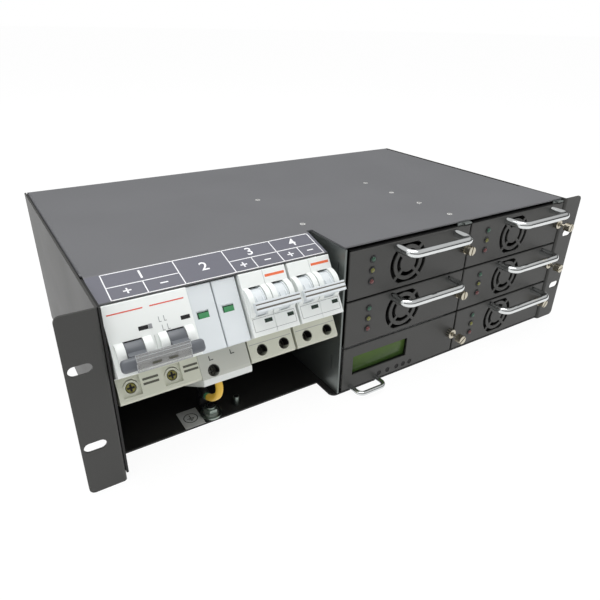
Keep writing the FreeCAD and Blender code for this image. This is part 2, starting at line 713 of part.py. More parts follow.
def wire_entry():
    """Earth cable hole in the surge base, in the devices' frame."""
    start = V(SURGE_X + WIRE_ENTRY_X, WIRE_ENTRY_DEPTH, -SURGE_BASE_BOTTOM - 1)
    return rod(WIRE_D / 2 + 0.4, start, start + Z_AXIS * (WIRE_INSIDE + 2))


def surge_cartridge(pole):
    """Plug-in cartridge with a sunk status window and two contact blades."""
    inset = 0.4
    x0 = SURGE_X + pole * POLE_W + inset
    x1 = SURGE_X + (pole + 1) * POLE_W - inset
    y1 = SURGE_FRONT + CARTRIDGE_DEPTH
    body = box(x0, x1, SURGE_FRONT, y1, -CARTRIDGE_H, 0)
    body = round_edges(body, 0.8, lambda e: e.CenterOfMass.y < SURGE_FRONT + 0.01)
    offset, length, drop, height = STATUS_WINDOW
    window = box(x0 + offset, x0 + offset + length, SURGE_FRONT - 1, SURGE_FRONT + STATUS_RECESS,
                 -drop - height, -drop)
    body = body.cut(window)
    middle = (x0 + x1) / 2
    w, t, reach = BLADE
    blades = [
        box(middle - w / 2, middle + w / 2, y1 - 1, y1 + reach, -drop - t / 2, -drop + t / 2)
        for drop in (10.0, CARTRIDGE_H - 10.0)
    ]
    return tilted(fuse([body] + blades))


def slotted_screw(x, screw):
    hole_d, offset, drop, head_depth = screw
    radius = hole_d / 2 - SCREW_HEAD_GAP
    y = SHOULDER + head_depth
    x += offset
    head = rod(radius, V(x, y, -drop), V(x, y + SCREW_HEAD_T, -drop))
    groove = box(x - radius - 1, x + radius + 1, y - 1, y + 1.0, -drop - 0.5, -drop + 0.5)
    return tilted(head.cut(groove))


def terminal_screws():
    groups = [(MAIN_X, MAIN_POLE_W, MAIN_SCREW, (0, 1))]
    groups += [(x, POLE_W, OUTPUT_SCREW, (0, 1)) for x in OUTPUT_X]
    groups.append((SURGE_X, POLE_W, SURGE_SCREW, (0,)))
    return [slotted_screw(x0 + (pole + 0.5) * pole_w, screw)
            for x0, pole_w, screw, poles in groups for pole in poles]


# ---------------------------------------------------------------- earth point

def earth_studs():
    """Earth stud with its washer and collared nut, and the short spare stud beside it."""
    x, y = STUD_POS
    z = BASE_Z + TRAY_T
    stud = rod(STUD_D / 2, V(x, y, z), V(x, y, z + STUD_L))
    hole_r = STUD_D / 2 + 0.15
    washer = rod(WASHER_D / 2, V(x, y, z), V(x, y, z + WASHER_T)).cut(
        rod(hole_r, V(x, y, z - 1), V(x, y, z + 5)))
    corner_r = NUT_AF / 2 / math.cos(math.pi / 6)
    hexagon = [(x + corner_r * math.cos(math.radians(60 * k)), y + corner_r * math.sin(math.radians(60 * k)))
               for k in range(6)]
    collar_d, collar_h = NUT_COLLAR
    nut_top = NUT_Z + NUT_H
    collar = rod(collar_d / 2, V(x, y, nut_top), V(x, y, nut_top + collar_h))
    nut = fuse([extrude(hexagon, "XY", NUT_Z, NUT_H), collar])
    nut = nut.cut(rod(hole_r, V(x, y, NUT_Z - 1), V(x, y, nut_top + collar_h + 1)))
    sx, sy = SPARE_STUD_POS
    spare = rod(SPARE_STUD_D / 2, V(sx, sy, z), V(sx, sy, z + SPARE_STUD_L))
    return [stud, washer, nut, spare]


def earth_lug():
    """Ring lug with an upright barrel behind the stud."""
    x, y = STUD_POS
    bx, by = LUG_BARREL_POS
    z = BASE_Z + TRAY_T + WASHER_T
    barrel_d, barrel_h = LUG_BARREL
    centre, foot = V(x, y, z), V(bx, by, z)
    along = (foot - centre).normalize()
    across = V(-along.y, along.x, 0) * (LUG_RING_D / 2 - 2)
    tongue = Part.Face(Part.makePolygon([centre - across, foot - across, foot + across, centre + across,
                                         centre - across])).extrude(Z_AXIS * LUG_T)
    ring = rod(LUG_RING_D / 2, centre, centre + Z_AXIS * LUG_T)
    barrel = rod(barrel_d / 2, foot, foot + Z_AXIS * barrel_h)
    bore = rod(STUD_D / 2 + 0.15, centre - Z_AXIS, centre + Z_AXIS * 4)
    return fuse([ring, tongue, barrel]).cut(bore)


def wire_points():
    """Route: out of the base along its tilt, over the stud, down into the lug's barrel."""
    bottom = V(SURGE_X + WIRE_ENTRY_X, WIRE_ENTRY_DEPTH, -SURGE_BASE_BOTTOM)
    ends = [tilted(Part.Vertex(bottom + Z_AXIS * h)).Point for h in (WIRE_INSIDE, -WIRE_EXIT)]
    barrel_top = V(*LUG_BARREL_POS, BASE_Z + TRAY_T + WASHER_T + LUG_BARREL[1])
    free = [V(x, y, BASE_Z + h) for x, y, h in WIRE_ROUTE]
    return ends + free + [barrel_top + Z_AXIS * WIRE_RISE, barrel_top]


def earth_wire():
    """Insulated earth wire from the surge protector's base to the lug's barrel."""
    points = wire_points()
    runs = [(b - a).Length for a, b in zip(points, points[1:])]
    radii = []
    for before, corner, after, r0, r1 in zip(points, points[1:], points[2:], runs, runs[1:]):
        turn = (corner - before).getAngle(after - corner)
        radii.append(0.45 * min(r0, r1) / math.tan(turn / 2))
    path = Part.Wire([piece.toShape() for piece in corner_arcs(points, radii)])
    wire = tube(points, radii, WIRE_D)
    section = math.pi * WIRE_D ** 2 / 4
    print("earth wire radii", [round(r, 1) for r in radii], "length", round(path.Length, 1),
          "volume ratio", round(wire.Volume / (section * path.Length), 4))
    return wire


# ---------------------------------------------------------------- modules

def module_origin(column, row):
    return V(COLUMN_X0 + column * COLUMN_PITCH, 0, BASE_Z + ROW_Z0 + row * ROW_PITCH)


def placed(shapes, column, row):
    group = shapes if isinstance(shapes, list) else [shapes]
    moved = [shape.copy() for shape in group]
    for shape in moved:
        shape.translate(module_origin(column, row))
    return moved


def ring_sector_cutters():
    """Grille openings: two rings of four arc slots between diagonal spokes, flat above and below."""
    centre = V(GRILLE_X, PANEL_Y - 1, GRILLE_Z)
    depth = PANEL_T + 2
    rings = []
    for inner, outer in (GRILLE_R[:2], GRILLE_R[2:]):
        ring = Part.makeCylinder(outer, depth, centre, Y_AXIS)
        rings.append(ring.cut(Part.makeCylinder(inner, depth, centre, Y_AXIS)))
    spoke = box(-GRILLE_R[3] - 1, GRILLE_R[3] + 1, -1, depth + 1, -SPOKE_W / 2, SPOKE_W / 2)
    openings = rings[0].fuse(rings[1])
    for angle in (45, 135):
        arm = spoke.copy()
        arm.rotate(V(0, 0, 0), Y_AXIS, angle)
        arm.translate(centre)
        openings = openings.cut(arm)
    window = box(GRILLE_X - 30, GRILLE_X + 30, -5, 10, GRILLE_Z - GRILLE_HALF_H, GRILLE_Z + GRILLE_HALF_H)
    return openings.common(window)


def blank_front():
    """Front plate with chamfered front edges, thumbscrew hole and guide collar."""
    plate = box(0, PANEL_W, PANEL_Y, PANEL_BACK, 0, PANEL_H)
    plate = plate.makeChamfer(PANEL_EDGE, [e for e in plate.Edges if abs(e.CenterOfMass.y - PANEL_Y) < 0.01])
    x = PANEL_W - SCREW_EDGE
    collar = rod(COLLAR_D / 2, V(x, PANEL_Y - COLLAR_H, SCREW_Z), V(x, PANEL_Y + 0.5, SCREW_Z))
    collar = collar.common(box(0, PANEL_W, -10, 10, 0, PANEL_H))
    hole = rod(SCREW_D / 2 + SCREW_CLEAR, V(x, -10, SCREW_Z), V(x, 10, SCREW_Z))
    return fuse([plate, collar]).cut(hole)


def rectifier_front():
    """Front plate with the fan grille and the three status lamps."""
    cutters = [ring_sector_cutters()]
    lamps = []
    for z in LED_Z:
        cutters.append(rod(LED_D / 2 + LED_GAP, V(LED_X, PANEL_Y - 1, z), V(LED_X, PANEL_BACK + 1, z)))
        lamps.append(rod(LED_D / 2, V(LED_X, PANEL_Y - LED_PROUD, z), V(LED_X, PANEL_BACK + LED_STEM, z)))
    return [blank_front().cut(Part.makeCompound(cutters))] + lamps


def u_handle(x, span, z, reach, diameter, bend):
    """Round-bar pull handle, its feet on the front plate."""
    y = PANEL_Y - reach
    points = [V(x, PANEL_Y, z), V(x, y, z), V(x + span, y, z), V(x + span, PANEL_Y, z)]
    return tube(points, [bend, bend], diameter)


def thumbscrew(out):
    """Captive thumbscrew: slotted knob, shank through the collar; drawn out by the given amount."""
    x = PANEL_W - SCREW_EDGE
    y1 = PANEL_Y - COLLAR_H - SLIDE_GAP - out
    knob = rod(KNOB_D / 2, V(x, y1 - KNOB_L, SCREW_Z), V(x, y1, SCREW_Z))
    groove = box(x - KNOB_D, x + KNOB_D, y1 - KNOB_L - 1, y1 - KNOB_L + 1.4, SCREW_Z - KNOB_SLOT / 2,
                 SCREW_Z + KNOB_SLOT / 2)
    shank = rod(SCREW_D / 2, V(x, y1 - 1, SCREW_Z), V(x, y1 + SCREW_L, SCREW_Z))
    return fuse([knob.cut(groove), shank])


def module_shell():
    """Sheet case of a plug-in module, open at the front, with the rear plug."""
    x0, x1 = CASE_SIDE_GAP, MODULE_X1
    z0, z1 = MODULE_Z0, MODULE_Z1
    t = MODULE_WALL
    shell = box(x0, x1, MODULE_FRONT, MODULE_BACK, z0, z1)
    shell = shell.cut(box(x0 + t, x1 - t, MODULE_FRONT - 1, MODULE_BACK - t, z0 + t, z1 - t))
    middle = (x0 + x1) / 2
    vents = [
        box(xc - VENT[0] / 2, xc + VENT[0] / 2, MODULE_BACK - 3, MODULE_BACK + 3,
            zc - VENT[1] / 2, zc + VENT[1] / 2)
        for xc in (middle - VENT_X, middle + VENT_X)
        for zc in (PANEL_H / 2 - VENT_PITCH, PANEL_H / 2, PANEL_H / 2 + VENT_PITCH)
    ]
    w, h = PLUG_SIZE
    plug = box(middle - w / 2, middle + w / 2, MODULE_BACK - 6, BACKPLANE_Y - 2.5,
               PANEL_H / 2 - h / 2, PANEL_H / 2 + h / 2)
    return fuse([shell.cut(Part.makeCompound(vents)), plug])


def fan_frame():
    """Square fan housing with a round duct, rear struts, motor boss and shaft."""
    half = FAN_SIZE / 2
    y0 = MODULE_FRONT + FAN_FRONT_GAP
    y1 = y0 + FAN_DEPTH
    body = box(GRILLE_X - half, GRILLE_X + half, y0, y1, GRILLE_Z - half, GRILLE_Z + half)
    bore_r = half - FAN_WALL
    centre = V(GRILLE_X, y0 - 1, GRILLE_Z)
    body = body.cut(Part.makeCylinder(bore_r, FAN_DEPTH + 2, centre, Y_AXIS))
    boss_r = FAN_HUB_D / 2
    parts = [body, rod(boss_r, V(GRILLE_X, y1 - 3, GRILLE_Z), V(GRILLE_X, y1, GRILLE_Z))]
    floor = MODULE_Z0 + MODULE_WALL + SHEET_GAP
    foot_h = GRILLE_Z - half - floor
    if foot_h > SHEET_GAP:
        parts.append(box(GRILLE_X - half, GRILLE_X + half, y0, y1, floor, floor + foot_h))
    for angle in (30, 150, 270):
        arm = box(boss_r - 1, bore_r + 0.3, y1 - 2, y1, -1.2, 1.2)
        arm.rotate(V(0, 0, 0), Y_AXIS, angle)
        arm.translate(V(GRILLE_X, 0, GRILLE_Z))
        parts.append(arm)
    parts.append(rod(FAN_SHAFT_D / 2, V(GRILLE_X, y0 + 4, GRILLE_Z), V(GRILLE_X, y1 - 2, GRILLE_Z)))
    return fuse(parts)


def fan_rotor():
    """Hub cup with raked blades, running on the motor's shaft."""
    y0 = MODULE_FRONT + FAN_FRONT_GAP + 1.0
    y1 = MODULE_FRONT + FAN_FRONT_GAP + FAN_DEPTH - 3.5
    hub_r = FAN_HUB_D / 2
    tip_r = FAN_SIZE / 2 - FAN_WALL - FAN_TIP_GAP
    hub = rod(hub_r, V(0, y0, 0), V(0, y1, 0))
    hub = hub.cut(rod(hub_r - FAN_WALL, V(0, y0 + 6, 0), V(0, y1 + 1, 0)))
    boss = rod(FAN_SHAFT_D / 2 + 1.6, V(0, y0 + 5, 0), V(0, y1 - 2, 0))
    parts = [hub, boss]
    for blade in range(FAN_BLADES):
        vane = fan_blade(hub_r, tip_r, (y0 + y1) / 2)
        vane.rotate(V(0, 0, 0), Y_AXIS, 360.0 * blade / FAN_BLADES)
        parts.append(vane)
    rotor = fuse(parts).cut(rod(FAN_SHAFT_D / 2 + FAN_SHAFT_GAP, V(0, y0 + 2.0, 0), V(0, y1 + 1, 0)))
    rotor.translate(V(GRILLE_X, 0, GRILLE_Z))
    return rotor


def fan_blade(hub_r, tip_r, middle):
    """Cambered blade: an arc section raked across the airflow, trimmed to the tip circle."""
    half = V(BLADE_CHORD / 2 * math.cos(math.radians(BLADE_RAKE)),
             BLADE_CHORD / 2 * math.sin(math.radians(BLADE_RAKE)), 0)
    across = V(-half.y, half.x, 0).normalize()
    foot = V(0, middle, hub_r - 0.6)
    tail, nose = foot - half, foot + half
    thick = across * BLADE_T
    sides = [
        Part.Arc(tail, foot + across * BLADE_CAMBER, nose),
        Part.LineSegment(nose, nose + thick),
        Part.Arc(nose + thick, foot + across * BLADE_CAMBER + thick, tail + thick),
        Part.LineSegment(tail + thick, tail),
    ]
    section = Part.Face(Part.Wire([side.toShape() for side in sides]))
    vane = section.extrude(Z_AXIS * (tip_r - hub_r + 2))
    return vane.common(rod(tip_r, V(0, middle - FAN_DEPTH, 0), V(0, middle + FAN_DEPTH, 0)))


def power_board():
    """Power board with finned heat sink, transformer and capacitors, on the case floor."""
    z = MODULE_Z0 + MODULE_WALL
    x0, x1 = CASE_SIDE_GAP + 4, MODULE_X1 - 4
    y0 = MODULE_FRONT + FAN_FRONT_GAP + FAN_DEPTH + 8
    y1 = MODULE_BACK - 8
    board = box(x0, x1, y0, y1, z + 4, z + 5.6)
    parts = [board]
    parts += [box(x, x + 4, y, y + 4, z + SHEET_GAP, z + 4.5)
              for x in (x0 + 2, x1 - 6) for y in (y0 + 4, y1 - 8)]
    base = box(x0 + 6, x0 + 34, y0 + 8, y1 - 30, z + 5, z + 9)
    fins = [box(x0 + 6 + 6.5 * k, x0 + 8.5 + 6.5 * k, y0 + 8, y1 - 30, z + 8, z + 30) for k in range(5)]
    core = box(x0 + 50, x0 + 84, y0 + 60, y0 + 100, z + 5, z + 31)
    can_top = z + 33
    cans = []
    for y in (y0 + 20, y0 + 45):
        cans.append(rod(10, V(x0 + 66, y, z + 5), V(x0 + 66, y, can_top)))
    return fuse(parts + [base] + fins + [core] + cans)


def rectifier_case():
    return [module_shell(), fan_frame(), power_board()]


def monitor_front():
    """Front plate with the display window and the button holes."""
    w, h = WINDOW_SIZE
    cutters = [box(WINDOW_X, WINDOW_X + w, 0, 10, WINDOW_Z, WINDOW_Z + h)]
    cutters += [rod(BUTTON_D / 2 + BUTTON_GAP, V(x, 0, BUTTON_Z), V(x, 10, BUTTON_Z)) for x in BUTTON_X]
    return blank_front().cut(Part.makeCompound(cutters))


def monitor_display():
    """Display module: frame round the window behind the plate, glass at its back."""
    w, h = WINDOW_SIZE
    x0, x1 = WINDOW_X, WINDOW_X + w
    z0, z1 = WINDOW_Z, WINDOW_Z + h
    glass_y = PANEL_Y + WINDOW_DEPTH
    rim = 3.0
    frame = box(x0 - rim, x1 + rim, PANEL_BACK + SHEET_GAP, glass_y + 3, z0 - rim, z1 + rim)
    return frame.cut(box(x0, x1, 0, glass_y, z0, z1))


def monitor_button(x):
    return rod(BUTTON_D / 2, V(x, PANEL_Y + 0.3, BUTTON_Z), V(x, PANEL_Y + 0.3 + BUTTON_L, BUTTON_Z))


def monitor_case():
    """Module shell with the control board standing behind the front plate."""
    board_y = PANEL_Y + 0.3 + BUTTON_L + 1.4
    z0 = MODULE_Z0 + MODULE_WALL + SHEET_GAP
    board = box(CASE_SIDE_GAP + 3, MODULE_X1 - 3, board_y + 4, board_y + 5.6, z0, MODULE_Z1 - MODULE_WALL - 1)
    switches = [box(x - 2.5, x + 2.5, board_y, board_y + 4.5, z0, BUTTON_Z + 2.5) for x in BUTTON_X]
    return [module_shell(), fuse([board] + switches)]


# ---------------------------------------------------------------- backplane

def backplane():
    """Board across the rear of the modules with one open-fronted socket for each plug."""
    flange_x = INNER_X - COVER_GAP - SHEET
    x0, x1 = COLUMN_X0 + 1.0, min(COLUMN_X0 + COLUMNS * COLUMN_PITCH - 3.0, flange_x - BOARD_GAP)
    board = box(x0, x1, BACKPLANE_Y, BACKPLANE_Y + BACKPLANE_T, BASE_Z + 4, TOP_Z - 5)
    w, h = PLUG_SIZE
    middle_x = (CASE_SIDE_GAP + MODULE_X1) / 2
    parts = [board]
    cutters = []
    for column, row in module_places():
        origin = module_origin(column, row)
        x, z = origin.x + middle_x, origin.z + PANEL_H / 2
        ow, oh = w / 2 + PLUG_GAP + SOCKET_WALL, h / 2 + PLUG_GAP + SOCKET_WALL
        iw, ih = w / 2 + PLUG_GAP, h / 2 + PLUG_GAP
        socket = box(x - ow, x + ow, MODULE_BACK + 2.0, BACKPLANE_Y + 0.5, z - oh, z + oh)
        parts.append(socket.cut(box(x - iw, x + iw, 0, BACKPLANE_Y - 2.0, z - ih, z + ih)))
        for side in (-1, 1):
            wx = x + side * 36
            cutters.append(box(wx - 13, wx + 13, BACKPLANE_Y - 1, BACKPLANE_Y + 5, z - 13, z + 13))
    parts[0] = board.cut(Part.makeCompound(cutters))
    return fuse(parts)


def bus_bars():
    """Two copper bars behind the backplane, reaching into the wiring bay."""
    t, h = BUS_SIZE
    y0 = BACKPLANE_Y + BACKPLANE_T + SHEET_GAP
    x1 = COLUMN_X0 + COLUMNS * COLUMN_PITCH - 30.0
    return [box(DIVIDER_X - 60, x1, y0, y0 + t, BASE_Z + z - h / 2, BASE_Z + z + h / 2) for z in BUS_HEIGHTS]


# ---------------------------------------------------------------- the assembly

RECTIFIERS = ((0, 2), (0, 1), (1, 2), (1, 1), (1, 0))
MONITOR = (0, 0)
SCREWS_DRAWN = {(0, 2): 0.0, (0, 1): 0.0, (1, 2): 6.5, (1, 1): 6.5, (1, 0): 0.0, (0, 0): 6.5}


def build():
    os.makedirs("parts", exist_ok=True)
    save("bottom_tray", bottom_tray())
    save("left_side_panel", side_panel(-1))
    save("right_side_panel", side_panel(1))
    save("rear_panel", rear_panel())
    save("top_cover", top_cover())
    save("divider_wall", divider_wall())
    save("module_uprights", module_uprights())
    save("module_shelves", module_shelves())
    save("din_rail", din_rail())
    save("backplane", backplane())
    save("bus_bars", bus_bars())

    main = (MAIN_X, MAIN_POLE_W, MAIN_PIVOT, MAIN_CHEEK_R, MAIN_TOGGLE_W)
    save("main_breaker_case", breaker_case(*main, MAIN_CHEEK_W, MAIN_SCREW, MAIN_ENTRY, MAIN_RECESS))
    save("main_breaker_toggle", breaker_toggle(*main, MAIN_BAR, 1.2))
    for number, x in enumerate(OUTPUT_X, 1):
        output = (x, POLE_W, OUTPUT_PIVOT, OUTPUT_CHEEK_R, OUTPUT_TOGGLE_W)
        case = breaker_case(*output, OUTPUT_CHEEK_W, OUTPUT_SCREW, OUTPUT_ENTRY)
        save("output_breaker_%d_case" % number, case)
        save("output_breaker_%d_toggle" % number, breaker_toggle(*output, OUTPUT_BAR, 0.6))
    save("surge_base", surge_base())
    for pole in range(2):
        save("surge_cartridge_%d" % (pole + 1), surge_cartridge(pole))
    save("terminal_screws", terminal_screws())
    save("earth_studs", earth_studs())
    save("earth_lug", earth_lug())
    save("earth_wire", earth_wire())

    handle = u_handle(HANDLE_X, HANDLE_SPAN, HANDLE_Z, HANDLE_REACH, HANDLE_D, HANDLE_BEND_R)
    case, front, rotor = rectifier_case(), rectifier_front(), fan_rotor()
    for number, place in enumerate(RECTIFIERS, 1):
        name = "rectifier_%d_" % number
        save(name + "case", placed(case, *place))
        save(name + "front", placed(front, *place))
        save(name + "handle", placed(handle, *place))
        save(name + "fan", placed(rotor, *place))
        save(name + "screw", placed(thumbscrew(SCREWS_DRAWN[place]), *place))

    save("monitor_case", placed(monitor_case(), *MONITOR))
    save("monitor_front", placed(monitor_front(), *MONITOR))
    save("monitor_display", placed(monitor_display(), *MONITOR))
    grip = u_handle(GRIP_X, GRIP_SPAN, GRIP_Z, GRIP_REACH, GRIP_D, GRIP_BEND_R)
    save("monitor_handle", placed(grip, *MONITOR))
    save("monitor_screw", placed(thumbscrew(SCREWS_DRAWN[MONITOR]), *MONITOR))
    for number, x in enumerate(BUTTON_X, 1):
        save("monitor_button_%d" % number, placed(monitor_button(x), *MONITOR))


build()
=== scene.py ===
import json
import math

import bpy
from mathutils import Matrix, Vector


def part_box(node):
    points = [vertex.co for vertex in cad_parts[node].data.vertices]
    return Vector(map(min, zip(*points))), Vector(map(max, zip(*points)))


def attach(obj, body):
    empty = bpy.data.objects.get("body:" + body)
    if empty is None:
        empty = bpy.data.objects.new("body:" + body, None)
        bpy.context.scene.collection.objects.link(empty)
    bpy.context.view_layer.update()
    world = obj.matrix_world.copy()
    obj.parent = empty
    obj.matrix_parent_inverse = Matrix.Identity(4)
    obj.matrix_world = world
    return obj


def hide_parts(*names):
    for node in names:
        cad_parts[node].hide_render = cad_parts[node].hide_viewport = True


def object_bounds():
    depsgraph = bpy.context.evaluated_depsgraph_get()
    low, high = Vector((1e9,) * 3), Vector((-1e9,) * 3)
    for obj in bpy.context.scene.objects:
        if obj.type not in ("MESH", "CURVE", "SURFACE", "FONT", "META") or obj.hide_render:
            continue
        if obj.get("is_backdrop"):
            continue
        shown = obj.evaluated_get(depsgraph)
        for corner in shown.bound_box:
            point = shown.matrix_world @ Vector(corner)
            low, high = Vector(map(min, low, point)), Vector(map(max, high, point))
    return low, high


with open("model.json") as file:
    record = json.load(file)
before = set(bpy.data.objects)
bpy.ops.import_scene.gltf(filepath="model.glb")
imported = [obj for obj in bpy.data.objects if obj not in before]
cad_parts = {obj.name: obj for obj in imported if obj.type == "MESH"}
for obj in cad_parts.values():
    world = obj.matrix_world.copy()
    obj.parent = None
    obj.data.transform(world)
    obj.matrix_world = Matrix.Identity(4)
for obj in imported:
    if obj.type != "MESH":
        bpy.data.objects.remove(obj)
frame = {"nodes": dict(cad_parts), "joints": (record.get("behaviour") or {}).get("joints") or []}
cad_low, cad_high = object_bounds()
mm = 0.001

# ------------------------------------------------------------ viewpoint, light and floor
# The subrack stands on a pale floor and is seen from its front left corner, from above.
# A wide soft light hangs over it, one stands to its left and one to its right, and the room
# is pale.

CAMERA_PLACE = Vector((-264.97, -281.36, 207.72)) * mm
CAMERA_YAW = math.radians(32.93)
CAMERA_PITCH = math.radians(27.23)
CAMERA_ROLL = math.radians(1.165)
CAMERA_LENS = 32.064
ROOM = 60.0
CEILING_LIGHT = (Vector((-0.2, 0.15, 1.7)), Vector((0.0, 0.1, 0)), 1.5, 22.0)
SIDE_LIGHT = (Vector((-1.7, 0.1, 0.7)), Vector((-0.1, 0.1, 0)), 1.1, 2.8)
FRONT_LIGHT = (Vector((1.3, -0.9, 0.3)), Vector((0.2, 0, 0)), 1.6, 7.0)
ROOM_FILL = 0.6
ROOM_WALLS = (
    (0.0, 1.0), (0.47, 1.0), (0.50, 0.05), (0.64, 0.09), (0.69, 0.42), (0.8, 0.66), (1.0, 0.6),
)
FLOOR_PAINT = (0.86, 0.86, 0.86)
FLOOR_GLOW = 1.04
FLOOR_WHITENESS = 0.9
SENSOR_WIDTH = 36.0


def look_along(yaw, pitch, roll):
    """Camera axes for a heading from +Y, a pitch down and a roll."""
    level = math.cos(pitch)
    ahead = Vector((math.sin(yaw) * level, math.cos(yaw) * level, -math.sin(pitch)))
    right = Vector((math.cos(yaw), -math.sin(yaw), 0))
    up = right.cross(ahead)
    right, up = (
        math.cos(roll) * right + math.sin(roll) * up,
        math.cos(roll) * up - math.sin(roll) * right,
    )
    return Matrix((right, up, -ahead)).transposed()


def select_none():
    if bpy.context.object and bpy.context.object.mode != "OBJECT":
        bpy.ops.object.mode_set(mode="OBJECT")
    bpy.ops.object.select_all(action="DESELECT")


def add_lamp(name, place, target, size, power, seen=True):
    select_none()
    bpy.ops.object.light_add(type="AREA", location=place)
    lamp = bpy.context.object
    lamp.name = name
    lamp.data.size = size
    lamp.data.energy = power
    lamp.visible_glossy = seen
    lamp.rotation_euler = (target - place).to_track_quat("-Z", "Y").to_euler()


class Shade:
    """A socket in a material. Arithmetic adds Math nodes; node() adds any other."""

    def __init__(self, tree, socket):
        self.tree = tree
        self.socket = socket

    def node(self, kind, settings, inputs, output=0):
        made = self.tree.nodes.new("ShaderNode" + kind)
        for key, value in settings.items():
            if key == "stops":
                for stop in made.color_ramp.elements[1:-1]:
                    made.color_ramp.elements.remove(stop)
                for step, (position, level) in enumerate(value):
                    if step > 0 and step < len(value) - 1:
                        stop = made.color_ramp.elements.new(position)
                    else:
                        stop = made.color_ramp.elements[0 if step == 0 else -1]
                    stop.position = position
                    stop.color = (level, level, level, 1)
            else:
                setattr(made, key, value)
        for key, value in inputs.items():
            if isinstance(value, Shade):
                self.tree.links.new(value.socket, made.inputs[key])
            else:
                made.inputs[key].default_value = value
        return Shade(self.tree, made.outputs[output])

    def maths(self, operation, first, second):
        return self.node("Math", {"operation": operation}, {0: first, 1: second})

    def __add__(self, other):
        return self.maths("ADD", self, other)

    def __radd__(self, other):
        return self.maths("ADD", other, self)

    def __sub__(self, other):
        return self.maths("SUBTRACT", self, other)

    def __rsub__(self, other):
        return self.maths("SUBTRACT", other, self)

    def __mul__(self, other):
        return self.maths("MULTIPLY", self, other)

    def __rmul__(self, other):
        return self.maths("MULTIPLY", other, self)

    def __gt__(self, other):
        return self.maths("GREATER_THAN", self, other)

    def __lt__(self, other):
        return self.maths("LESS_THAN", self, other)

    def clamp(self):
        return self.node("Clamp", {}, {0: self})

    def part(self, letter):
        return self.node("SeparateXYZ", {}, {0: self}, "XYZ".index(letter))

    def blend(self, first, second):
        """Colour between two colours, by this factor."""
        inputs = {0: self, 6: first, 7: second}
        return self.node("Mix", {"data_type": "RGBA"}, inputs, 2)

    def grain(self, scale, detail=2.0):
        return self.node("TexNoise", {}, {"Vector": self, "Scale": scale, "Detail": detail})

    def stretched(self, x, y, z):
        return self.node("Mapping", {}, {"Vector": self, "Scale": (x, y, z)})


def colour(red, green, blue, gain=1.0):
    return (red * gain, green * gain, blue * gain, 1.0)


def blank_finish(name, **sockets):
    """A new material with its plain sockets set, and its Object coordinates."""
    material = bpy.data.materials.new(name)
    material.use_nodes = True
    tree = material.node_tree
    shader = tree.nodes["Principled BSDF"]
    for key, value in sockets.items():
        shader.inputs[key.replace("_", " ")].default_value = value
    coordinates = tree.nodes.new("ShaderNodeTexCoord")
    return material, shader, Shade(tree, coordinates.outputs["Object"])


def feed(shader, **sockets):
    for key, value in sockets.items():
        value.tree.links.new(value.socket, shader.inputs[key.replace("_", " ")])


def emboss(shader, height, depth, strength=1.0):
    bump = height.node("Bump", {}, {"Height": height, "Distance": depth, "Strength": strength})
    feed(shader, Normal=bump)


def dress(material, *nodes):
    for node in nodes:
        for slot in frame["nodes"][node].material_slots:
            slot.material = material


def ray_kinds(tree):
    """Factors that are 1 for rays of the camera, for reflected rays and for rays through glass."""
    path = tree.nodes.new("ShaderNodeLightPath")
    return [
        Shade(tree, path.outputs[kind])
        for kind in ("Is Camera Ray", "Is Glossy Ray", "Is Transmission Ray")
    ]


def speckled(name, scale, deep, pale, **sockets):
    """A plain surface whose colour wanders a little between two tones."""
    material, shader, place = blank_finish(name, **sockets)
    feed(shader, Base_Color=place.grain(scale).blend(colour(*deep), colour(*pale)))
    return material


def floor_finish():
    """Pale floor: near white to the eye, its own shadow kept faintly."""
    material = bpy.data.materials.new("pale floor")
    material.use_nodes = True
    tree = material.node_tree
    output = tree.nodes["Material Output"]
    tree.nodes.remove(tree.nodes["Principled BSDF"])
    camera_ray, glossy_ray, glass_ray = ray_kinds(tree)
    seen = (camera_ray + glossy_ray + glass_ray).clamp()
    paint = seen.node("BsdfDiffuse", {}, {"Color": colour(*FLOOR_PAINT)})
    white = seen.node("Emission", {}, {"Color": colour(1, 1, 1), "Strength": FLOOR_GLOW})
    mixed = seen.node("MixShader", {}, {0: seen * FLOOR_WHITENESS, 1: paint, 2: white})
    tree.links.new(mixed.socket, output.inputs["Surface"])
    return material


def room_light():
    """Pale room: even light for surfaces, a band of walls and ceiling for metal to reflect."""
    world = bpy.data.worlds.new("room")
    bpy.context.scene.world = world
    world.use_nodes = True
    tree = world.node_tree
    back = tree.nodes["Background"]
    camera_ray, glossy_ray, glass_ray = ray_kinds(tree)
    direction = Shade(tree, tree.nodes.new("ShaderNodeTexCoord").outputs["Generated"])
    height = direction.part("Z") * 0.5 + 0.5
    walls = height.node("ValToRGB", {"stops": ROOM_WALLS}, {0: height})
    backdrop = (camera_ray + glass_ray).clamp()
    level = backdrop + (1 - backdrop) * (glossy_ray * walls + (1 - glossy_ray) * ROOM_FILL)
    back.inputs["Color"].default_value = colour(1, 1, 1)
    tree.links.new(level.socket, back.inputs["Strength"])


scene = bpy.context.scene
scene.view_settings.view_transform = "Standard"
bpy.ops.object.camera_add()
camera = bpy.context.object
camera.name = "camera"
camera.matrix_world = Matrix.Translation(CAMERA_PLACE) @ look_along(
    CAMERA_YAW, CAMERA_PITCH, CAMERA_ROLL
).to_4x4()
camera.data.lens = CAMERA_LENS
camera.data.sensor_width = SENSOR_WIDTH
camera.data.clip_start = 0.01
scene.camera = camera
add_lamp("ceiling light", *CEILING_LIGHT)
add_lamp("side light", *SIDE_LIGHT)
add_lamp("front light", *FRONT_LIGHT, seen=False)
room_light()

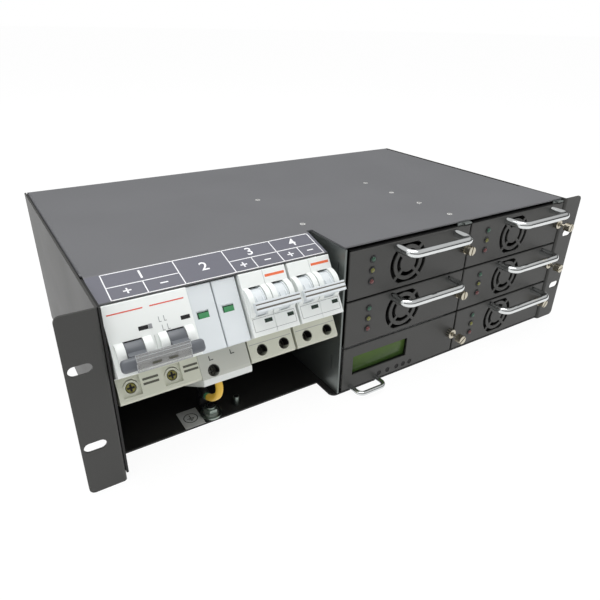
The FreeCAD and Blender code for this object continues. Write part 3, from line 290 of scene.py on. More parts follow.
select_none()
bpy.ops.mesh.primitive_plane_add(size=ROOM, location=(0, 0, cad_low.z - 0.0002))
floor = bpy.context.object
floor.name = "floor"
floor.data.materials.append(floor_finish())
floor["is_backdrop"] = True

# ------------------------------------------------------------ case paint
# Side panels, ears, tray and module fronts are steel sheet, sprayed with charcoal powder coat; the cover is
# the same sheet in the same coat, drawn paler and slightly bluer as painted light from above. The tray and
# the rail are drawn near black, as painted shade inside the bay.


def powder_coat(name, red, green, blue, roughness):
    """Fine-grained paint: a little mottle in its colour and gloss, orange peel in its skin."""
    material, shader, place = blank_finish(name, Specular_IOR_Level=0.45)
    fine = place.grain(1400.0, 3.0)
    broad = place.grain(14.0)
    tone = (fine * 0.5 + broad * 0.5).clamp()
    feed(
        shader,
        Base_Color=tone.blend(colour(red, green, blue, 0.88), colour(red, green, blue, 1.12)),
        Roughness=broad * 0.14 + (roughness - 0.07),
    )
    emboss(shader, fine, 0.00003, 0.6)
    return material


charcoal = powder_coat("charcoal powder coat", 0.047, 0.047, 0.0445, 0.46)
# The cover's coat is paler than the charcoal: painted light from above on the same paint.
cover_coat_painted_light = powder_coat("cover coat with painted light", 0.140, 0.142, 0.150, 0.42)
# The rail and the tray are drawn near black: the shade inside the bay under the cover is painted into their
# coat.
bay_shade_coat = powder_coat("near-black coat with painted bay shade", 0.012, 0.012, 0.012, 0.6)
dress(charcoal, "left_side_panel", "right_side_panel")
dress(bay_shade_coat, "din_rail", "bottom_tray")
dress(cover_coat_painted_light, "top_cover")

# ------------------------------------------------------------ zinc-plated sheet
# The divider, the uprights, the module shelves and the rear panel are plated steel, left
# unpainted: bluish, softly shining, with the faint long streaks of rolled sheet.


def plated_sheet(name, red, green, blue, roughness, metallic=0.85):
    material, shader, place = blank_finish(name, Metallic=metallic)
    streaks = place.stretched(3.0, 3.0, 160.0).grain(6.0, 4.0)
    cloud = place.grain(24.0)
    tone = (streaks * 0.6 + cloud * 0.4).clamp()
    feed(
        shader,
        Base_Color=tone.blend(colour(red, green, blue, 0.8), colour(red, green, blue, 1.15)),
        Roughness=streaks * 0.2 + (roughness - 0.1),
    )
    emboss(shader, streaks, 0.00002, 0.4)
    return material


zinc = plated_sheet("zinc plate", 0.20, 0.22, 0.212, 0.42)
dress(zinc, "divider_wall", "module_uprights", "module_shelves", "rear_panel")

# ------------------------------------------------------------ cover and side screws
# Small countersunk screws hold the cover to the divider, the uprights and the side panels.
# Bright zinc heads with a pressed cross, sitting just proud of the paint.

SCREW_HEAD_R = 2.7 * mm
SCREW_HEAD_H = 0.35 * mm
SCREW_PROUD = 0.04 * mm
RECESS_REACH = 0.62
RECESS_HALF = 0.13
COVER_SCREWS = (
    (-41.0, 62.9), (-41.0, 138.7), (83.7, 22.6), (83.7, 60.0), (83.7, 98.0), (83.7, 138.0),
)
SIDE_SCREWS = ((65.0, 54.7), (137.0, 54.7), (240.0, 52.7))


def settle(piece):
    """Put a piece's place into its mesh, so that its object sits at the origin."""
    select_none()
    piece.select_set(True)
    bpy.context.view_layer.objects.active = piece
    bpy.ops.object.transform_apply(location=True, rotation=True, scale=True)
    return piece


def add_round(name, radius, depth, place, axis="Z", sides=32, cap_radius=None):
    """A disc or drum along an axis; with a second radius, a taper towards its far end."""
    turn = {"Z": (0, 0, 0), "Y": (math.radians(90), 0, 0), "X": (0, math.radians(90), 0)}[axis]
    select_none()
    bpy.ops.mesh.primitive_cone_add(
        vertices=sides, radius1=radius, radius2=radius if cap_radius is None else cap_radius,
        depth=depth, location=place, rotation=turn,
    )
    piece = bpy.context.object
    piece.name = name
    return settle(piece)


def add_block(name, low, high):
    low, high = Vector(low), Vector(high)
    select_none()
    bpy.ops.mesh.primitive_cube_add(size=1, location=(low + high) / 2, scale=high - low)
    piece = bpy.context.object
    piece.name = name
    return settle(piece)


def pick_faces(piece, test):
    """Enter edit mode with just the faces chosen that pass a test."""
    select_none()
    piece.select_set(True)
    bpy.context.view_layer.objects.active = piece
    bpy.ops.object.mode_set(mode="EDIT")
    bpy.ops.mesh.select_mode(type="FACE")
    bpy.ops.mesh.select_all(action="DESELECT")
    bpy.ops.object.mode_set(mode="OBJECT")
    for face in piece.data.polygons:
        face.select = test(face)
    bpy.ops.object.mode_set(mode="EDIT")


def leave_edit():
    bpy.ops.object.mode_set(mode="OBJECT")


def ease(piece, width, segments=2, limit=40):
    """Round the sharp edges of a piece with an applied bevel, and smooth its shading."""
    select_none()
    piece.select_set(True)
    bpy.context.view_layer.objects.active = piece
    bevel = piece.modifiers.new("eased edges", "BEVEL")
    bevel.width = width
    bevel.segments = segments
    bevel.limit_method = "ANGLE"
    bevel.angle_limit = math.radians(limit)
    bpy.ops.object.modifier_apply(modifier=bevel.name)
    bpy.ops.object.shade_smooth_by_angle(angle=math.radians(limit))
    return piece


def copy_to(piece, name, offset=(0, 0, 0), turn=None):
    """A copy with its own mesh, moved and optionally turned about the origin first."""
    twin = piece.copy()
    twin.data = piece.data.copy()
    bpy.context.scene.collection.objects.link(twin)
    twin.name = name
    matrix = Matrix.Translation(Vector(offset))
    if turn is not None:
        matrix = matrix @ turn.to_4x4()
    twin.data.transform(matrix)
    return twin


def join(name, pieces):
    select_none()
    for piece in pieces:
        piece.select_set(True)
    bpy.context.view_layer.objects.active = pieces[0]
    if len(pieces) > 1:
        bpy.ops.object.join()
    pieces[0].name = name
    return pieces[0]


def finish_piece(piece, material, body):
    piece.data.materials.clear()
    piece.data.materials.append(material)
    for face in piece.data.polygons:
        face.material_index = 0
    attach(piece, body)
    return piece


def metal(name, red, green, blue, roughness, wear=0.12):
    """Plated or polished metal with faint smears in its gloss."""
    material, shader, place = blank_finish(name, Metallic=1.0)
    smear = place.grain(180.0, 3.0)
    feed(
        shader,
        Base_Color=smear.blend(colour(red, green, blue, 1 - wear), colour(red, green, blue, 1.0)),
        Roughness=smear * (roughness * 0.8) + roughness * 0.6,
    )
    return material


def cross_head(name, radius, height, place):
    """Screw head facing +Z: chamfered disc with a cross-shaped driver recess."""
    head = add_round(name, radius, height, place, sides=28, cap_radius=radius * 0.86)
    top = Matrix.Translation((place[0], place[1], place[2] + height / 2))
    arms = []
    for angle in (0, 90):
        low = (-radius * RECESS_REACH, -radius * RECESS_HALF, -height)
        high = (radius * RECESS_REACH, radius * RECESS_HALF, height)
        arm = add_block("recess", low, high)
        arm.data.transform(top @ Matrix.Rotation(math.radians(angle), 4, "Z"))
        arms.append(arm)
    for arm in arms:
        carve(head, arm)
    return head


def carve(piece, tool):
    """Cut a tool's shape out of a piece and discard the tool."""
    select_none()
    piece.select_set(True)
    bpy.context.view_layer.objects.active = piece
    cut = piece.modifiers.new("cut", "BOOLEAN")
    cut.operation = "DIFFERENCE"
    cut.solver = "EXACT"
    cut.object = tool
    bpy.ops.object.modifier_apply(modifier=cut.name)
    bpy.data.objects.remove(tool)
    return piece


bright_zinc = metal("bright zinc", 0.95, 0.95, 0.92, 0.5)
master = cross_head("screw head", SCREW_HEAD_R, SCREW_HEAD_H, (0, 0, 0))
cover_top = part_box("top_cover")[1].z
head_z = cover_top - SCREW_HEAD_H / 2 + SCREW_PROUD
heads = [copy_to(master, "head", (x * mm, y * mm, head_z)) for x, y in COVER_SCREWS]
finish_piece(join("cover_screws", heads), bright_zinc, "chassis")
head_x = -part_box("top_cover")[0].x - SCREW_HEAD_H / 2 + SCREW_PROUD
heads = []
for side in (-1, 1):
    turn = Matrix.Rotation(math.radians(90 * side), 3, "Y")
    heads += [copy_to(master, "head", (side * head_x, y * mm, z * mm), turn) for y, z in SIDE_SCREWS]
finish_piece(join("side_screws", heads), bright_zinc, "chassis")
bpy.data.objects.remove(master)

# ------------------------------------------------------------ label strip
# The sloped front edge of the cover carries a printed strip: dark blue-grey, with a white
# ruled frame over each device, its number and the signs of its two poles.

APRON_X = (-215.1, -47.5)
APRON_FOLD_Y = 45.0
APRON_EDGE_Y = 18.5
APRON_DROP = 7.4
LABEL_T = 0.06
RULE_W = 0.75
INK_T = 0.036
SIGN_REACH = 2.6
SIGN_HALF = 0.55
RULES_ACROSS = (
    (-205.5, -50.2, 1.6), (-205.5, -158.0, 14.9), (-122.0, -50.2, 14.9), (-205.5, -50.2, 27.0),
)
RULES_DOWN = (
    (-205.5, 1.6, 27.0), (-158.0, 1.6, 27.0), (-122.0, 1.6, 27.0), (-84.0, 1.6, 27.0),
    (-50.2, 1.6, 27.0), (-182.5, 14.9, 27.0), (-105.0, 14.9, 27.0), (-67.0, 14.9, 27.0),
)
NUMBERS = (
    ("1", -181.7, 8.4, 8.5), ("2", -140.0, 14.0, 9.0), ("3", -103.0, 8.4, 8.5), ("4", -67.0, 8.4, 8.5),
)
SIGNS = (
    ("+", -194.0, 20.8), ("-", -170.3, 20.8), ("+", -113.5, 20.8),
    ("-", -94.5, 20.8), ("+", -75.5, 20.8), ("-", -58.6, 20.8),
)

apron_slope = math.atan2(APRON_DROP, APRON_FOLD_Y - APRON_EDGE_Y)
apron_length = math.hypot(APRON_DROP, APRON_FOLD_Y - APRON_EDGE_Y)
apron_matrix = (
    Matrix.Translation((0, APRON_FOLD_Y * mm, cover_top)) @ Matrix.Rotation(apron_slope, 4, "X")
)


def on_apron(piece):
    """From flat (x across, -y down the slope, z off the sheet) to the sloped strip."""
    piece.data.transform(apron_matrix)
    return piece


def inked(x0, x1, s0, s1):
    """A printed bar between two places across and two places down the strip."""
    low = (x0 * mm, -s1 * mm, LABEL_T * mm)
    return add_block("ink", low, (x1 * mm, -s0 * mm, (LABEL_T + INK_T) * mm))


def rule(x0, x1, s0, s1):
    half = RULE_W / 2
    return inked(x0 - half, x1 + half, s0 - half, s1 + half)


def written(text, x, s, size, z):
    """A character as a thin flat mesh, centred on a point of the strip."""
    select_none()
    bpy.ops.object.text_add()
    word = bpy.context.object
    word.data.body = text
    word.data.size = size * 1.35 * mm
    word.data.align_x = "CENTER"
    word.data.align_y = "CENTER"
    word.data.extrude = LABEL_T * 0.3 * mm
    word.data.offset = 0.00012
    bpy.ops.object.convert(target="MESH")
    word = bpy.context.object
    word.data.transform(Matrix.Translation((x * mm, -s * mm, z * mm)))
    return word


def sign(kind, x, s):
    bars = [inked(x - SIGN_REACH, x + SIGN_REACH, s - SIGN_HALF, s + SIGN_HALF)]
    if kind == "+":
        bars.append(inked(x - SIGN_HALF, x + SIGN_HALF, s - SIGN_REACH, s + SIGN_REACH))
    return bars


label_coat = powder_coat("label strip", 0.128, 0.130, 0.158, 0.44)
white_ink = speckled("white ink", 900.0, (0.80, 0.81, 0.83), (0.90, 0.90, 0.91), Roughness=0.5)
strip = add_block("label_strip", (APRON_X[0] * mm, -apron_length * mm + 0.0002, 0.00001),
                  (APRON_X[1] * mm, -0.0011, LABEL_T * mm))
finish_piece(on_apron(ease(strip, 0.02 * mm, 1)), label_coat, "chassis")
ink = [rule(x0, x1, s, s) for x0, x1, s in RULES_ACROSS]
ink += [rule(x, x, s0, s1) for x, s0, s1 in RULES_DOWN]
ink += [written(text, x, s, size, LABEL_T * 1.3) for text, x, s, size in NUMBERS]
for kind, x, s in SIGNS:
    ink += sign(kind, x, s)
finish_piece(on_apron(join("label_print", ink)), white_ink, "chassis")

# ------------------------------------------------------------ devices on the tilted rail
# The breakers and the surge protector clip on one rail that leans back, so their faces look
# up at the user. Their shared frame has its origin at the top front edge of the faces, with
# y into the device and z up the face.

NOSE_HEIGHT = 44.6 * mm
SILL_DROP = 61.9 * mm
MAIN_PIVOT = Vector((0, 5.0, -30.5)) * mm
INK_FACE = (-0.05, 0.02)
pull = next(joint for joint in frame["joints"] if joint["name"] == "surge_cartridge_1_pull")
switch = next(joint for joint in frame["joints"] if joint["name"] == "main_toggle_switch")
rail_tilt = math.atan2(pull["axis"][2], -pull["axis"][1])
tilt_turn = Matrix.Rotation(-rail_tilt, 4, "X")
pivot = Vector(switch["pos_m"])
face_origin = pivot - tilt_turn @ MAIN_PIVOT
face_origin.x = 0
rail_matrix = Matrix.Translation(face_origin) @ tilt_turn


def on_rail(piece):
    piece.data.transform(rail_matrix)
    return piece


def block(name, x0, x1, y0, y1, z0, z1, edge=0.0):
    """A bar in the devices' frame, in millimetres, its edges eased if asked."""
    piece = add_block(name, (x0 * mm, y0 * mm, z0 * mm), (x1 * mm, y1 * mm, z1 * mm))
    if edge:
        ease(piece, edge * mm)
    return piece


def moulded(name, red, green, blue, roughness=0.42):
    """Moulded thermoplastic: even colour, very fine spark-eroded texture."""
    material, shader, place = blank_finish(name, Specular_IOR_Level=0.5)
    fine = place.grain(2200.0)
    cloud = place.grain(40.0)
    feed(
        shader,
        Base_Color=cloud.blend(colour(red, green, blue, 0.95), colour(red, green, blue, 1.03)),
        Roughness=fine * 0.14 + (roughness - 0.07),
    )
    emboss(shader, fine, 0.00001, 0.5)
    return material


def breaker_shell(name, face, foot, sill=1.0):
    """Device housing: white nose, duller terminal part under it, white again below a sill."""
    material, shader, place = blank_finish(name, Specular_IOR_Level=0.5)
    fine = place.grain(2200.0)
    cloud = place.grain(40.0)
    up = tilt_turn @ Vector((0, 0, 1))
    drop = up.dot(face_origin) - place.part("Y") * up.y - place.part("Z") * up.z
    below = (drop > NOSE_HEIGHT) * (drop < sill)
    nose = cloud.blend(colour(*face, 0.96), colour(*face))
    terminals = cloud.blend(colour(*foot, 0.94), colour(*foot))
    feed(
        shader,
        Base_Color=below.blend(nose, terminals),
        Roughness=fine * 0.14 + 0.35,
    )
    emboss(shader, fine, 0.00001, 0.5)
    return material


ivory = breaker_shell("breaker plastic", (0.86, 0.89, 0.87), (0.60, 0.61, 0.51))
base_white = breaker_shell("surge base plastic", (0.72, 0.74, 0.72), (0.50, 0.51, 0.46), SILL_DROP)
pure_white = moulded("white plastic", 0.70, 0.74, 0.76)
slate = moulded("slate plastic", 0.12, 0.13, 0.145, 0.36)
shade_grey = moulded("grey plastic", 0.30, 0.31, 0.32, 0.4)
shadow_olive = moulded("vent shade", 0.085, 0.085, 0.065, 0.6)
black = moulded("black plastic", 0.008, 0.008, 0.009, 0.4)
red_ink = speckled("red ink", 700.0, (0.66, 0.09, 0.05), (0.76, 0.13, 0.08), Roughness=0.5)
dress(ivory, "main_breaker_case", "output_breaker_1_case", "output_breaker_2_case")
dress(base_white, "surge_base")
dress(slate, "main_breaker_toggle")
dress(pure_white, "surge_cartridge_1", "surge_cartridge_2")
dress(pure_white, "output_breaker_1_toggle", "output_breaker_2_toggle")

# ------------------------------------------------------------ main breaker
# The widest device: two red rules and two trip windows on its nose, black strips of painted shade over its
# barrels, a grey bar that ties its toggles, and vents, drawn as strips of painted shade, beside the flush
# clamp screws of its terminal part.

BAR_DEPTH = (-14.0, -7.2)
BAR_HEIGHT = (-41.6, -33.4)
MAIN_RULES = ((-211.0, -189.2), (-184.9, -162.7))
MAIN_WINDOWS = ((-194.9, -188.8), (-167.8, -161.7))
MAIN_MARKS = ((-181.6, 13.4), (-178.3, 13.4), (-180.6, 19.0), (-177.3, 19.0))
MAIN_BARRELS = ((-205.4, -195.0), (-178.4, -168.0))
MAIN_VENTS = ((-197.4, -187.2), (-170.3, -160.4))
VENT_DROPS = (49.2, 52.2)
TERMINAL_FACE = 16.5
TERMINAL_INK = (TERMINAL_FACE - 0.04, TERMINAL_FACE + 0.05)
BAR_COVER_X = (-204.3, -171.2)
BAR_COVER_PATH = ((-17.45, 32.5), (-17.7, 36.9), (-16.4, 38.0), (-14.2, 42.7))
BAR_COVER_RIBS = (32.7, 34.3, 36.6)
BAR_COVER_EYES = (-192.8, -182.6)


def merged_copy(node, name):
    """A whole-surface copy of a fixed node's mesh, its loose triangles joined."""
    piece = frame["nodes"][node].copy()
    piece.data = piece.data.copy()
    piece.parent = None
    bpy.context.scene.collection.objects.link(piece)
    piece.name = name
    for key in list(piece.keys()):
        del piece[key]
    select_none()
    piece.select_set(True)
    bpy.context.view_layer.objects.active = piece
    bpy.ops.object.mode_set(mode="EDIT")
    bpy.ops.mesh.select_all(action="SELECT")
    bpy.ops.mesh.remove_doubles(threshold=0.00001)
    leave_edit()
    return piece


tied = merged_copy("main_breaker_toggle", "main_rocker")
bar_ends = [corner.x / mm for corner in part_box("main_breaker_toggle")]
square_bar = block("square bar", bar_ends[0] - 1, bar_ends[1] + 1, -15.0, -7.7, -42.5, -32.5)
tied = carve(tied, on_rail(square_bar))
ease(tied, 1.5 * mm, 3)
bar = ease(block("bar", *bar_ends, *BAR_DEPTH, *BAR_HEIGHT), 2.5 * mm, 5)
tied = join("main_rocker", [tied, on_rail(bar)])
finish_piece(tied, slate, "main_toggle")
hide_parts("main_breaker_toggle")
prints = [block("rule", x0, x1, *INK_FACE, -6.1, -5.3) for x0, x1 in MAIN_RULES]
finish_piece(on_rail(join("main_breaker_rules", prints)), red_ink, "chassis")
windows_and_shade = [block("window", x0, x1, -0.06, 0.02, -19.2, -16.6) for x0, x1 in MAIN_WINDOWS]
# Black strips above the grey barrels are painted shade of the gap between barrel and case.
for x0, x1 in MAIN_BARRELS:
    windows_and_shade.append(block("shade", x0, x1, -0.5, 0.02, -24.2, -23.3))
finish_piece(on_rail(join("main_breaker_windows_and_shade", windows_and_shade)), black, "chassis")
# The vents are flat strips in painted shade, standing for the dark of their slots.
vents = [
    block("vent", x0, x1, *TERMINAL_INK, -drop - 0.75, -drop + 0.75)
    for x0, x1 in MAIN_VENTS
    for drop in VENT_DROPS
]
finish_piece(on_rail(join("main_breaker_vents", vents)), shadow_olive, "chassis")
bridge = block("main_breaker_bridge", -187.5, -185.9, -0.04, 0.03, -24.0, -0.6)
finish_piece(on_rail(bridge), ivory, "chassis")
marks = [block("flag", -188.6, -186.4, -0.3, 0.02, -19.4, -16.4, 0.1)]
for x, drop in MAIN_MARKS:
    marks.append(block("mark", x, x + 0.4, *INK_FACE, -drop - 3.4, -drop))
    marks.append(block("mark", x, x + 1.6, *INK_FACE, -drop - 3.6, -drop - 3.2))
finish_piece(on_rail(join("main_breaker_marks", marks)), shade_grey, "chassis")


def bent_strip(name, x0, x1, path, thick):
    """Thin wall along a path of (depth, drop) points, extruded across the devices."""
    select_none()
    bpy.ops.mesh.primitive_plane_add(size=1)
    strip = bpy.context.object
    strip.name = name
    bpy.ops.object.mode_set(mode="EDIT")
    bpy.ops.mesh.delete(type="ONLY_FACE")
    bpy.ops.mesh.select_all(action="SELECT")
    bpy.ops.mesh.merge(type="CENTER")
    bpy.ops.transform.translate(value=(x0 * mm, path[0][0] * mm, -path[0][1] * mm))
    for (d0, a0), (d1, a1) in zip(path, path[1:]):
        step = (0, (d1 - d0) * mm, (a0 - a1) * mm)
        bpy.ops.mesh.extrude_region_move(TRANSFORM_OT_translate={"value": step})
    bpy.ops.mesh.select_all(action="SELECT")
    bpy.ops.mesh.extrude_region_move(TRANSFORM_OT_translate={"value": ((x1 - x0) * mm, 0, 0)})
    bpy.ops.mesh.select_all(action="SELECT")
    bpy.ops.mesh.normals_make_consistent(inside=False)
    leave_edit()
    solid = strip.modifiers.new("wall", "SOLIDIFY")
    solid.thickness = thick * mm
    solid.offset = 0
    bpy.ops.object.modifier_apply(modifier=solid.name)
    return strip


clear_plastic, shader, place = blank_finish("clear plastic", Alpha=0.32, Specular_IOR_Level=0.6)
feed(
    shader,
    Base_Color=place.grain(60.0).blend(colour(0.42, 0.42, 0.40), colour(0.52, 0.52, 0.50)),
    Roughness=place.grain(300.0) * 0.1 + 0.12,
)
cover = bent_strip("bar_cover", *BAR_COVER_X, BAR_COVER_PATH, 0.5)
finish_piece(on_rail(cover), clear_plastic, "main_toggle")
pale_rib = moulded("clear edge", 0.36, 0.37, 0.38, 0.25)
ribs = [
    block("rib", *BAR_COVER_X, -18.2, -17.4, -drop - 0.22, -drop + 0.22, 0.1) for drop in BAR_COVER_RIBS
]
ribs.append(block("rib", *BAR_COVER_X, -14.5, -13.9, -43.0, -42.5, 0.1))
lower_edge = Matrix.Translation((0, -16.4 * mm, -38.0 * mm)) @ Matrix.Rotation(math.radians(25), 4, "X")
for x in BAR_COVER_X:
    ribs.append(block("rib", x - 0.25, x + 0.25, -18.1, -17.4, -37.0, -32.4, 0.1))
    rib = block("rib", x - 0.25, x + 0.25, -0.35, 0.35, -5.2, 0, 0.1)
    rib.data.transform(lower_edge)
    ribs.append(rib)
finish_piece(on_rail(join("bar_cover_ribs", ribs)), pale_rib, "main_toggle")
# The eyes in the cover's skirt are flat patches in the same painted shade.
eyes = [block("eye", x - 2.7, x + 2.7, -16.3, -15.9, -40.2, -38.8) for x in BAR_COVER_EYES]
finish_piece(on_rail(join("bar_cover_eyes", eyes)), shadow_olive, "main_toggle")

# ------------------------------------------------------------ surge protector
# Two plug-in cartridges, each with a green status window, in a base of white plastic with
# one terminal screw and a small latch notch under each cartridge.

LATCHES = ((-150.4, 49.4), (-134.6, 49.1))
WINDOW_SHADE_FACE = (3.05, 3.2)
window_green = speckled(
    "green window", 260.0, (0.03, 0.20, 0.07), (0.07, 0.33, 0.13), Roughness=0.16, Coat_Weight=0.6
)
window_edge_shade = moulded("painted window edge shade", 0.010, 0.045, 0.020, 0.3)
for pole in (1, 2):
    body = "surge_cartridge_%d" % pole
    low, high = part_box(body)
    x0, x1 = low.x / mm + 3.3, high.x / mm - 3.1
    pane = block("surge_window_%d" % pole, x0, x1, 3.15, 3.58, -22.4, -17.4, 0.12)
    finish_piece(on_rail(pane), window_green, body)
    # Dark green strips along the top and left edges of each window: painted shade cast by its frame.
    rims = [
        block("rim", x0, x1, *WINDOW_SHADE_FACE, -18.1, -17.4),
        block("rim", x0, x0 + 0.7, *WINDOW_SHADE_FACE, -22.4, -17.4),
    ]
    rim = on_rail(join("surge_window_rim_%d" % pole, rims))
    finish_piece(rim, window_edge_shade, body)
# The latch notches are drawn as flat black L-shaped marks: painted shade in the notches.
notch_shade = []
for x, drop in LATCHES:
    notch_shade.append(block("notch_shade_mark", x - 1.5, x - 0.9, *TERMINAL_INK, -drop - 0.4, -drop + 2.2))
    notch_shade.append(block("notch_shade_mark", x - 1.5, x + 1.5, *TERMINAL_INK, -drop - 0.9, -drop - 0.3))
finish_piece(on_rail(join("surge_notch_shade", notch_shade)), black, "chassis")

# ------------------------------------------------------------ output breakers
# Two double-pole breakers with white rockers under one ribbed bar each, an orange rule at
# the top of the face and a dark window under each rocker.

OUTPUT_RULE = (19.2, 34.6)
OUTPUT_WINDOWS = ((10.3, 16.3), (28.4, 33.6))
OUTPUT_PARTING = 48.6
OUTPUT_FRAME = (31.4, 40.4)
OUTPUT_POLES = (9.0, 27.0)
OUTPUT_AXIS = Vector((0, 5.3, -20.6)) * mm
OUTPUT_NECK = Vector((0, -0.2, -20.9)) * mm
OUTPUT_BAR = (-12.9, -8.8, -28.3, -20.9)
DRUM_R, DRUM_W = 10.3, 8.3
RIM_R, RIM_T, RIM_X = 11.0, 0.9, 3.75
COLLAR_R, COLLAR_T, COLLAR_X = 5.9, 1.3, 2.3
orange_ink = speckled("orange ink", 700.0, (0.78, 0.13, 0.04), (0.86, 0.19, 0.07), Roughness=0.5)
dark_green = speckled(
    "dark window", 300.0, (0.004, 0.016, 0.010), (0.012, 0.035, 0.022), Roughness=0.2, Coat_Weight=0.4
)
groove_shade_brown = moulded("painted groove shade", 0.12, 0.11, 0.09, 0.4)
# Bands across each bar's front: white ridges, with dark brown painted shade where the grooves between them
# lie.
OUTPUT_BAR_BANDS = (
    ("crest", 21.0, 22.3, pure_white, "white_plastic"),
    ("groove", 22.3, 23.1, groove_shade_brown, "grey_plastic"),
    ("belly", 23.1, 25.2, pure_white, "white_plastic"),
    ("shade", 25.2, 26.3, groove_shade_brown, "grey_plastic"),
    ("foot", 26.3, 28.1, pure_white, "white_plastic"),
)


def output_rocker(name, bar_low, bar_high, middles):
    """Grooved tie bar, and for each pole a drum between two rims, two collars and a lever."""
    parts = [block("bar", bar_low, bar_high, *OUTPUT_BAR, 0.9)]
    for x in middles:
        across = Vector((x * mm, 0, 0))
        parts.append(add_round("drum", DRUM_R * mm, DRUM_W * mm, OUTPUT_AXIS + across, "X", 40))
        for side in (-1, 1):
            place = OUTPUT_NECK + across + Vector((side * COLLAR_X * mm, 0, 0))
            collar = add_round("collar", COLLAR_R * mm, COLLAR_T * mm, place, "X", 40)
            parts.append(ease(collar, 0.35 * mm))
            place = OUTPUT_AXIS + across + Vector((side * RIM_X * mm, 0, 0))
            rim = add_round("rim", RIM_R * mm, RIM_T * mm, place, "X", 48)
            parts.append(ease(rim, 0.2 * mm))
        parts.append(block("lever", x - 2.6, x + 2.6, -10.5, 0.5, -26.0, -21.0, 0.8))
    return on_rail(join(name, parts))


for number in (1, 2):
    body = "output_toggle_%d" % number
    left, right = (corner.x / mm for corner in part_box("output_breaker_%d_case" % number))
    rule_ends = [left + x for x in OUTPUT_RULE]
    stripe = block("output_rule_%d" % number, *rule_ends, *INK_FACE, -5.1, -3.3)
    finish_piece(on_rail(stripe), orange_ink, "chassis")
    panes = [block("pane", left + x0, left + x1, -0.06, 0.02, -35.6, -32.9) for x0, x1 in OUTPUT_WINDOWS]
    panes = on_rail(join("output_windows_%d" % number, panes))
    finish_piece(panes, dark_green, "chassis")
    line = block(
        "output_parting_%d" % number, left + 1, right - 1, *TERMINAL_INK,
        -OUTPUT_PARTING - 0.2, -OUTPUT_PARTING + 0.2,
    )
    finish_piece(on_rail(line), shade_grey, "chassis")
    bar_low, bar_high = (corner.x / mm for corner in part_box("output_breaker_%d_toggle" % number))
    middles = [left + x for x in OUTPUT_POLES]
    piece = output_rocker("output_rocker_%d" % number, bar_low, bar_high, middles)
    finish_piece(piece, pure_white, body)
    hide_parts("output_breaker_%d_toggle" % number)
    for name, top, bottom, material, slot in OUTPUT_BAR_BANDS:
        band = block(
            "output_bar_%s_%d" % (name, number),
            bar_low + 0.4, bar_high - 0.4, -13.3, -12.8, -bottom, -top, 0.12,
        )
        finish_piece(on_rail(band), material, body)
    frame_x0, frame_x1 = left + 1.6, right - 1.6
    outline = [
        block("line", frame_x0, frame_x1, -0.04, 0.02, -drop - 0.15, -drop + 0.15)
        for drop in OUTPUT_FRAME
    ]
    outline += [
        block("line", x - 0.15, x + 0.15, -0.04, 0.02, -OUTPUT_FRAME[1], -OUTPUT_FRAME[0])
        for x in (frame_x0, frame_x1)
    ]
    outline = on_rail(join("output_frame_%d" % number, outline))
    finish_piece(outline, shade_grey, "chassis")

# ------------------------------------------------------------ terminal screws
# Clamp screws at the bottom of their wells: steel, yellow-passivated in the main breaker and dull in the
# others, drawn darker there as painted shade of the deep wells, with a cross recess. Black sleeves line the
# wells as painted shade, and black crosses paint the shade in the recesses of the main screws.

MAIN_SCREWS = ((-205.0, 52.2), (-178.0, 52.2))
OUTPUT_SCREWS = ((-112.3, 54.6), (-94.3, 54.6), (-74.2, 54.6), (-56.2, 54.6))
SURGE_SCREWS = ((-150.5, 58.0),)
yellow_zinc = metal("yellow zinc", 0.40, 0.37, 0.12, 0.34)
# Dull zinc, made darker still as painted shade at the bottom of the wells.
well_shaded_zinc = metal("dull zinc with painted well shade", 0.13, 0.13, 0.11, 0.4)


def well_screws(name, places, radius, head, material):
    """Cross-recessed heads facing out of their wells, at a depth into the devices."""
    master = cross_head("head", radius * mm, 2.0 * mm, (0, 0, 0))
    turn = Matrix.Rotation(math.radians(90), 3, "X")
    heads = [copy_to(master, "head", (x * mm, (head + 1.0) * mm, -drop * mm), turn) for x, drop in places]
    bpy.data.objects.remove(master)
    piece = finish_piece(on_rail(join(name, heads)), material, "chassis")
    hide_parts("terminal_screws")


def well_shade_sleeves(name, places, radius, head):
    """Black open sleeves inside the wells, from just under the rim to the screw head: painted shade of the
    deep wells.
    """
    tubes = []
    rim = TERMINAL_FACE + 0.7
    for x, drop in places:
        place = (x * mm, (rim + head) / 2 * mm, -drop * mm)
        tube = add_round("well_shade_sleeve", (radius - 0.05) * mm, (head - rim) * mm, place, "Y")
        bore = add_round("bore", (radius - 0.3) * mm, (head - rim + 2) * mm, place, "Y")
        tubes.append(carve(tube, bore))
    finish_piece(on_rail(join(name, tubes)), black, "chassis")


well_screws("main_screws", MAIN_SCREWS, 3.4, 18.7, yellow_zinc)
rims = []
arms = []
for x, drop in MAIN_SCREWS:
    place = (x * mm, 19.02 * mm, -drop * mm)
    rim = add_round("rim", 4.89 * mm, 1.4 * mm, place, "Y", 36)
    rims.append(carve(rim, add_round("bore", 3.5 * mm, 3 * mm, place, "Y", 36)))
    # Black crosses over the recesses of the main screws are painted shade.
    for half_x, half_z in ((2.4, 0.7), (0.7, 2.4)):
        arms.append(block("arm", x - half_x, x + half_x, 18.66, 18.75, -drop - half_z, -drop + half_z))
finish_piece(on_rail(join("main_screw_rims", rims)), ivory, "chassis")
finish_piece(on_rail(join("main_screw_cross_shade", arms)), black, "chassis")
well_screws("output_screws", OUTPUT_SCREWS, 3.9, 25.5, well_shaded_zinc)
well_screws("surge_screws", SURGE_SCREWS, 3.9, 23.5, well_shaded_zinc)
well_shade_sleeves("output_well_shade", OUTPUT_SCREWS, 4.2, 25.5)
well_shade_sleeves("surge_well_shade", SURGE_SCREWS, 4.2, 23.5)

# ------------------------------------------------------------ earth point
# A plated stud with washer and locking nut, a ring lug on it, a spare stud, and the green
# and yellow earth wire that comes down from the surge protector into a black sleeve.

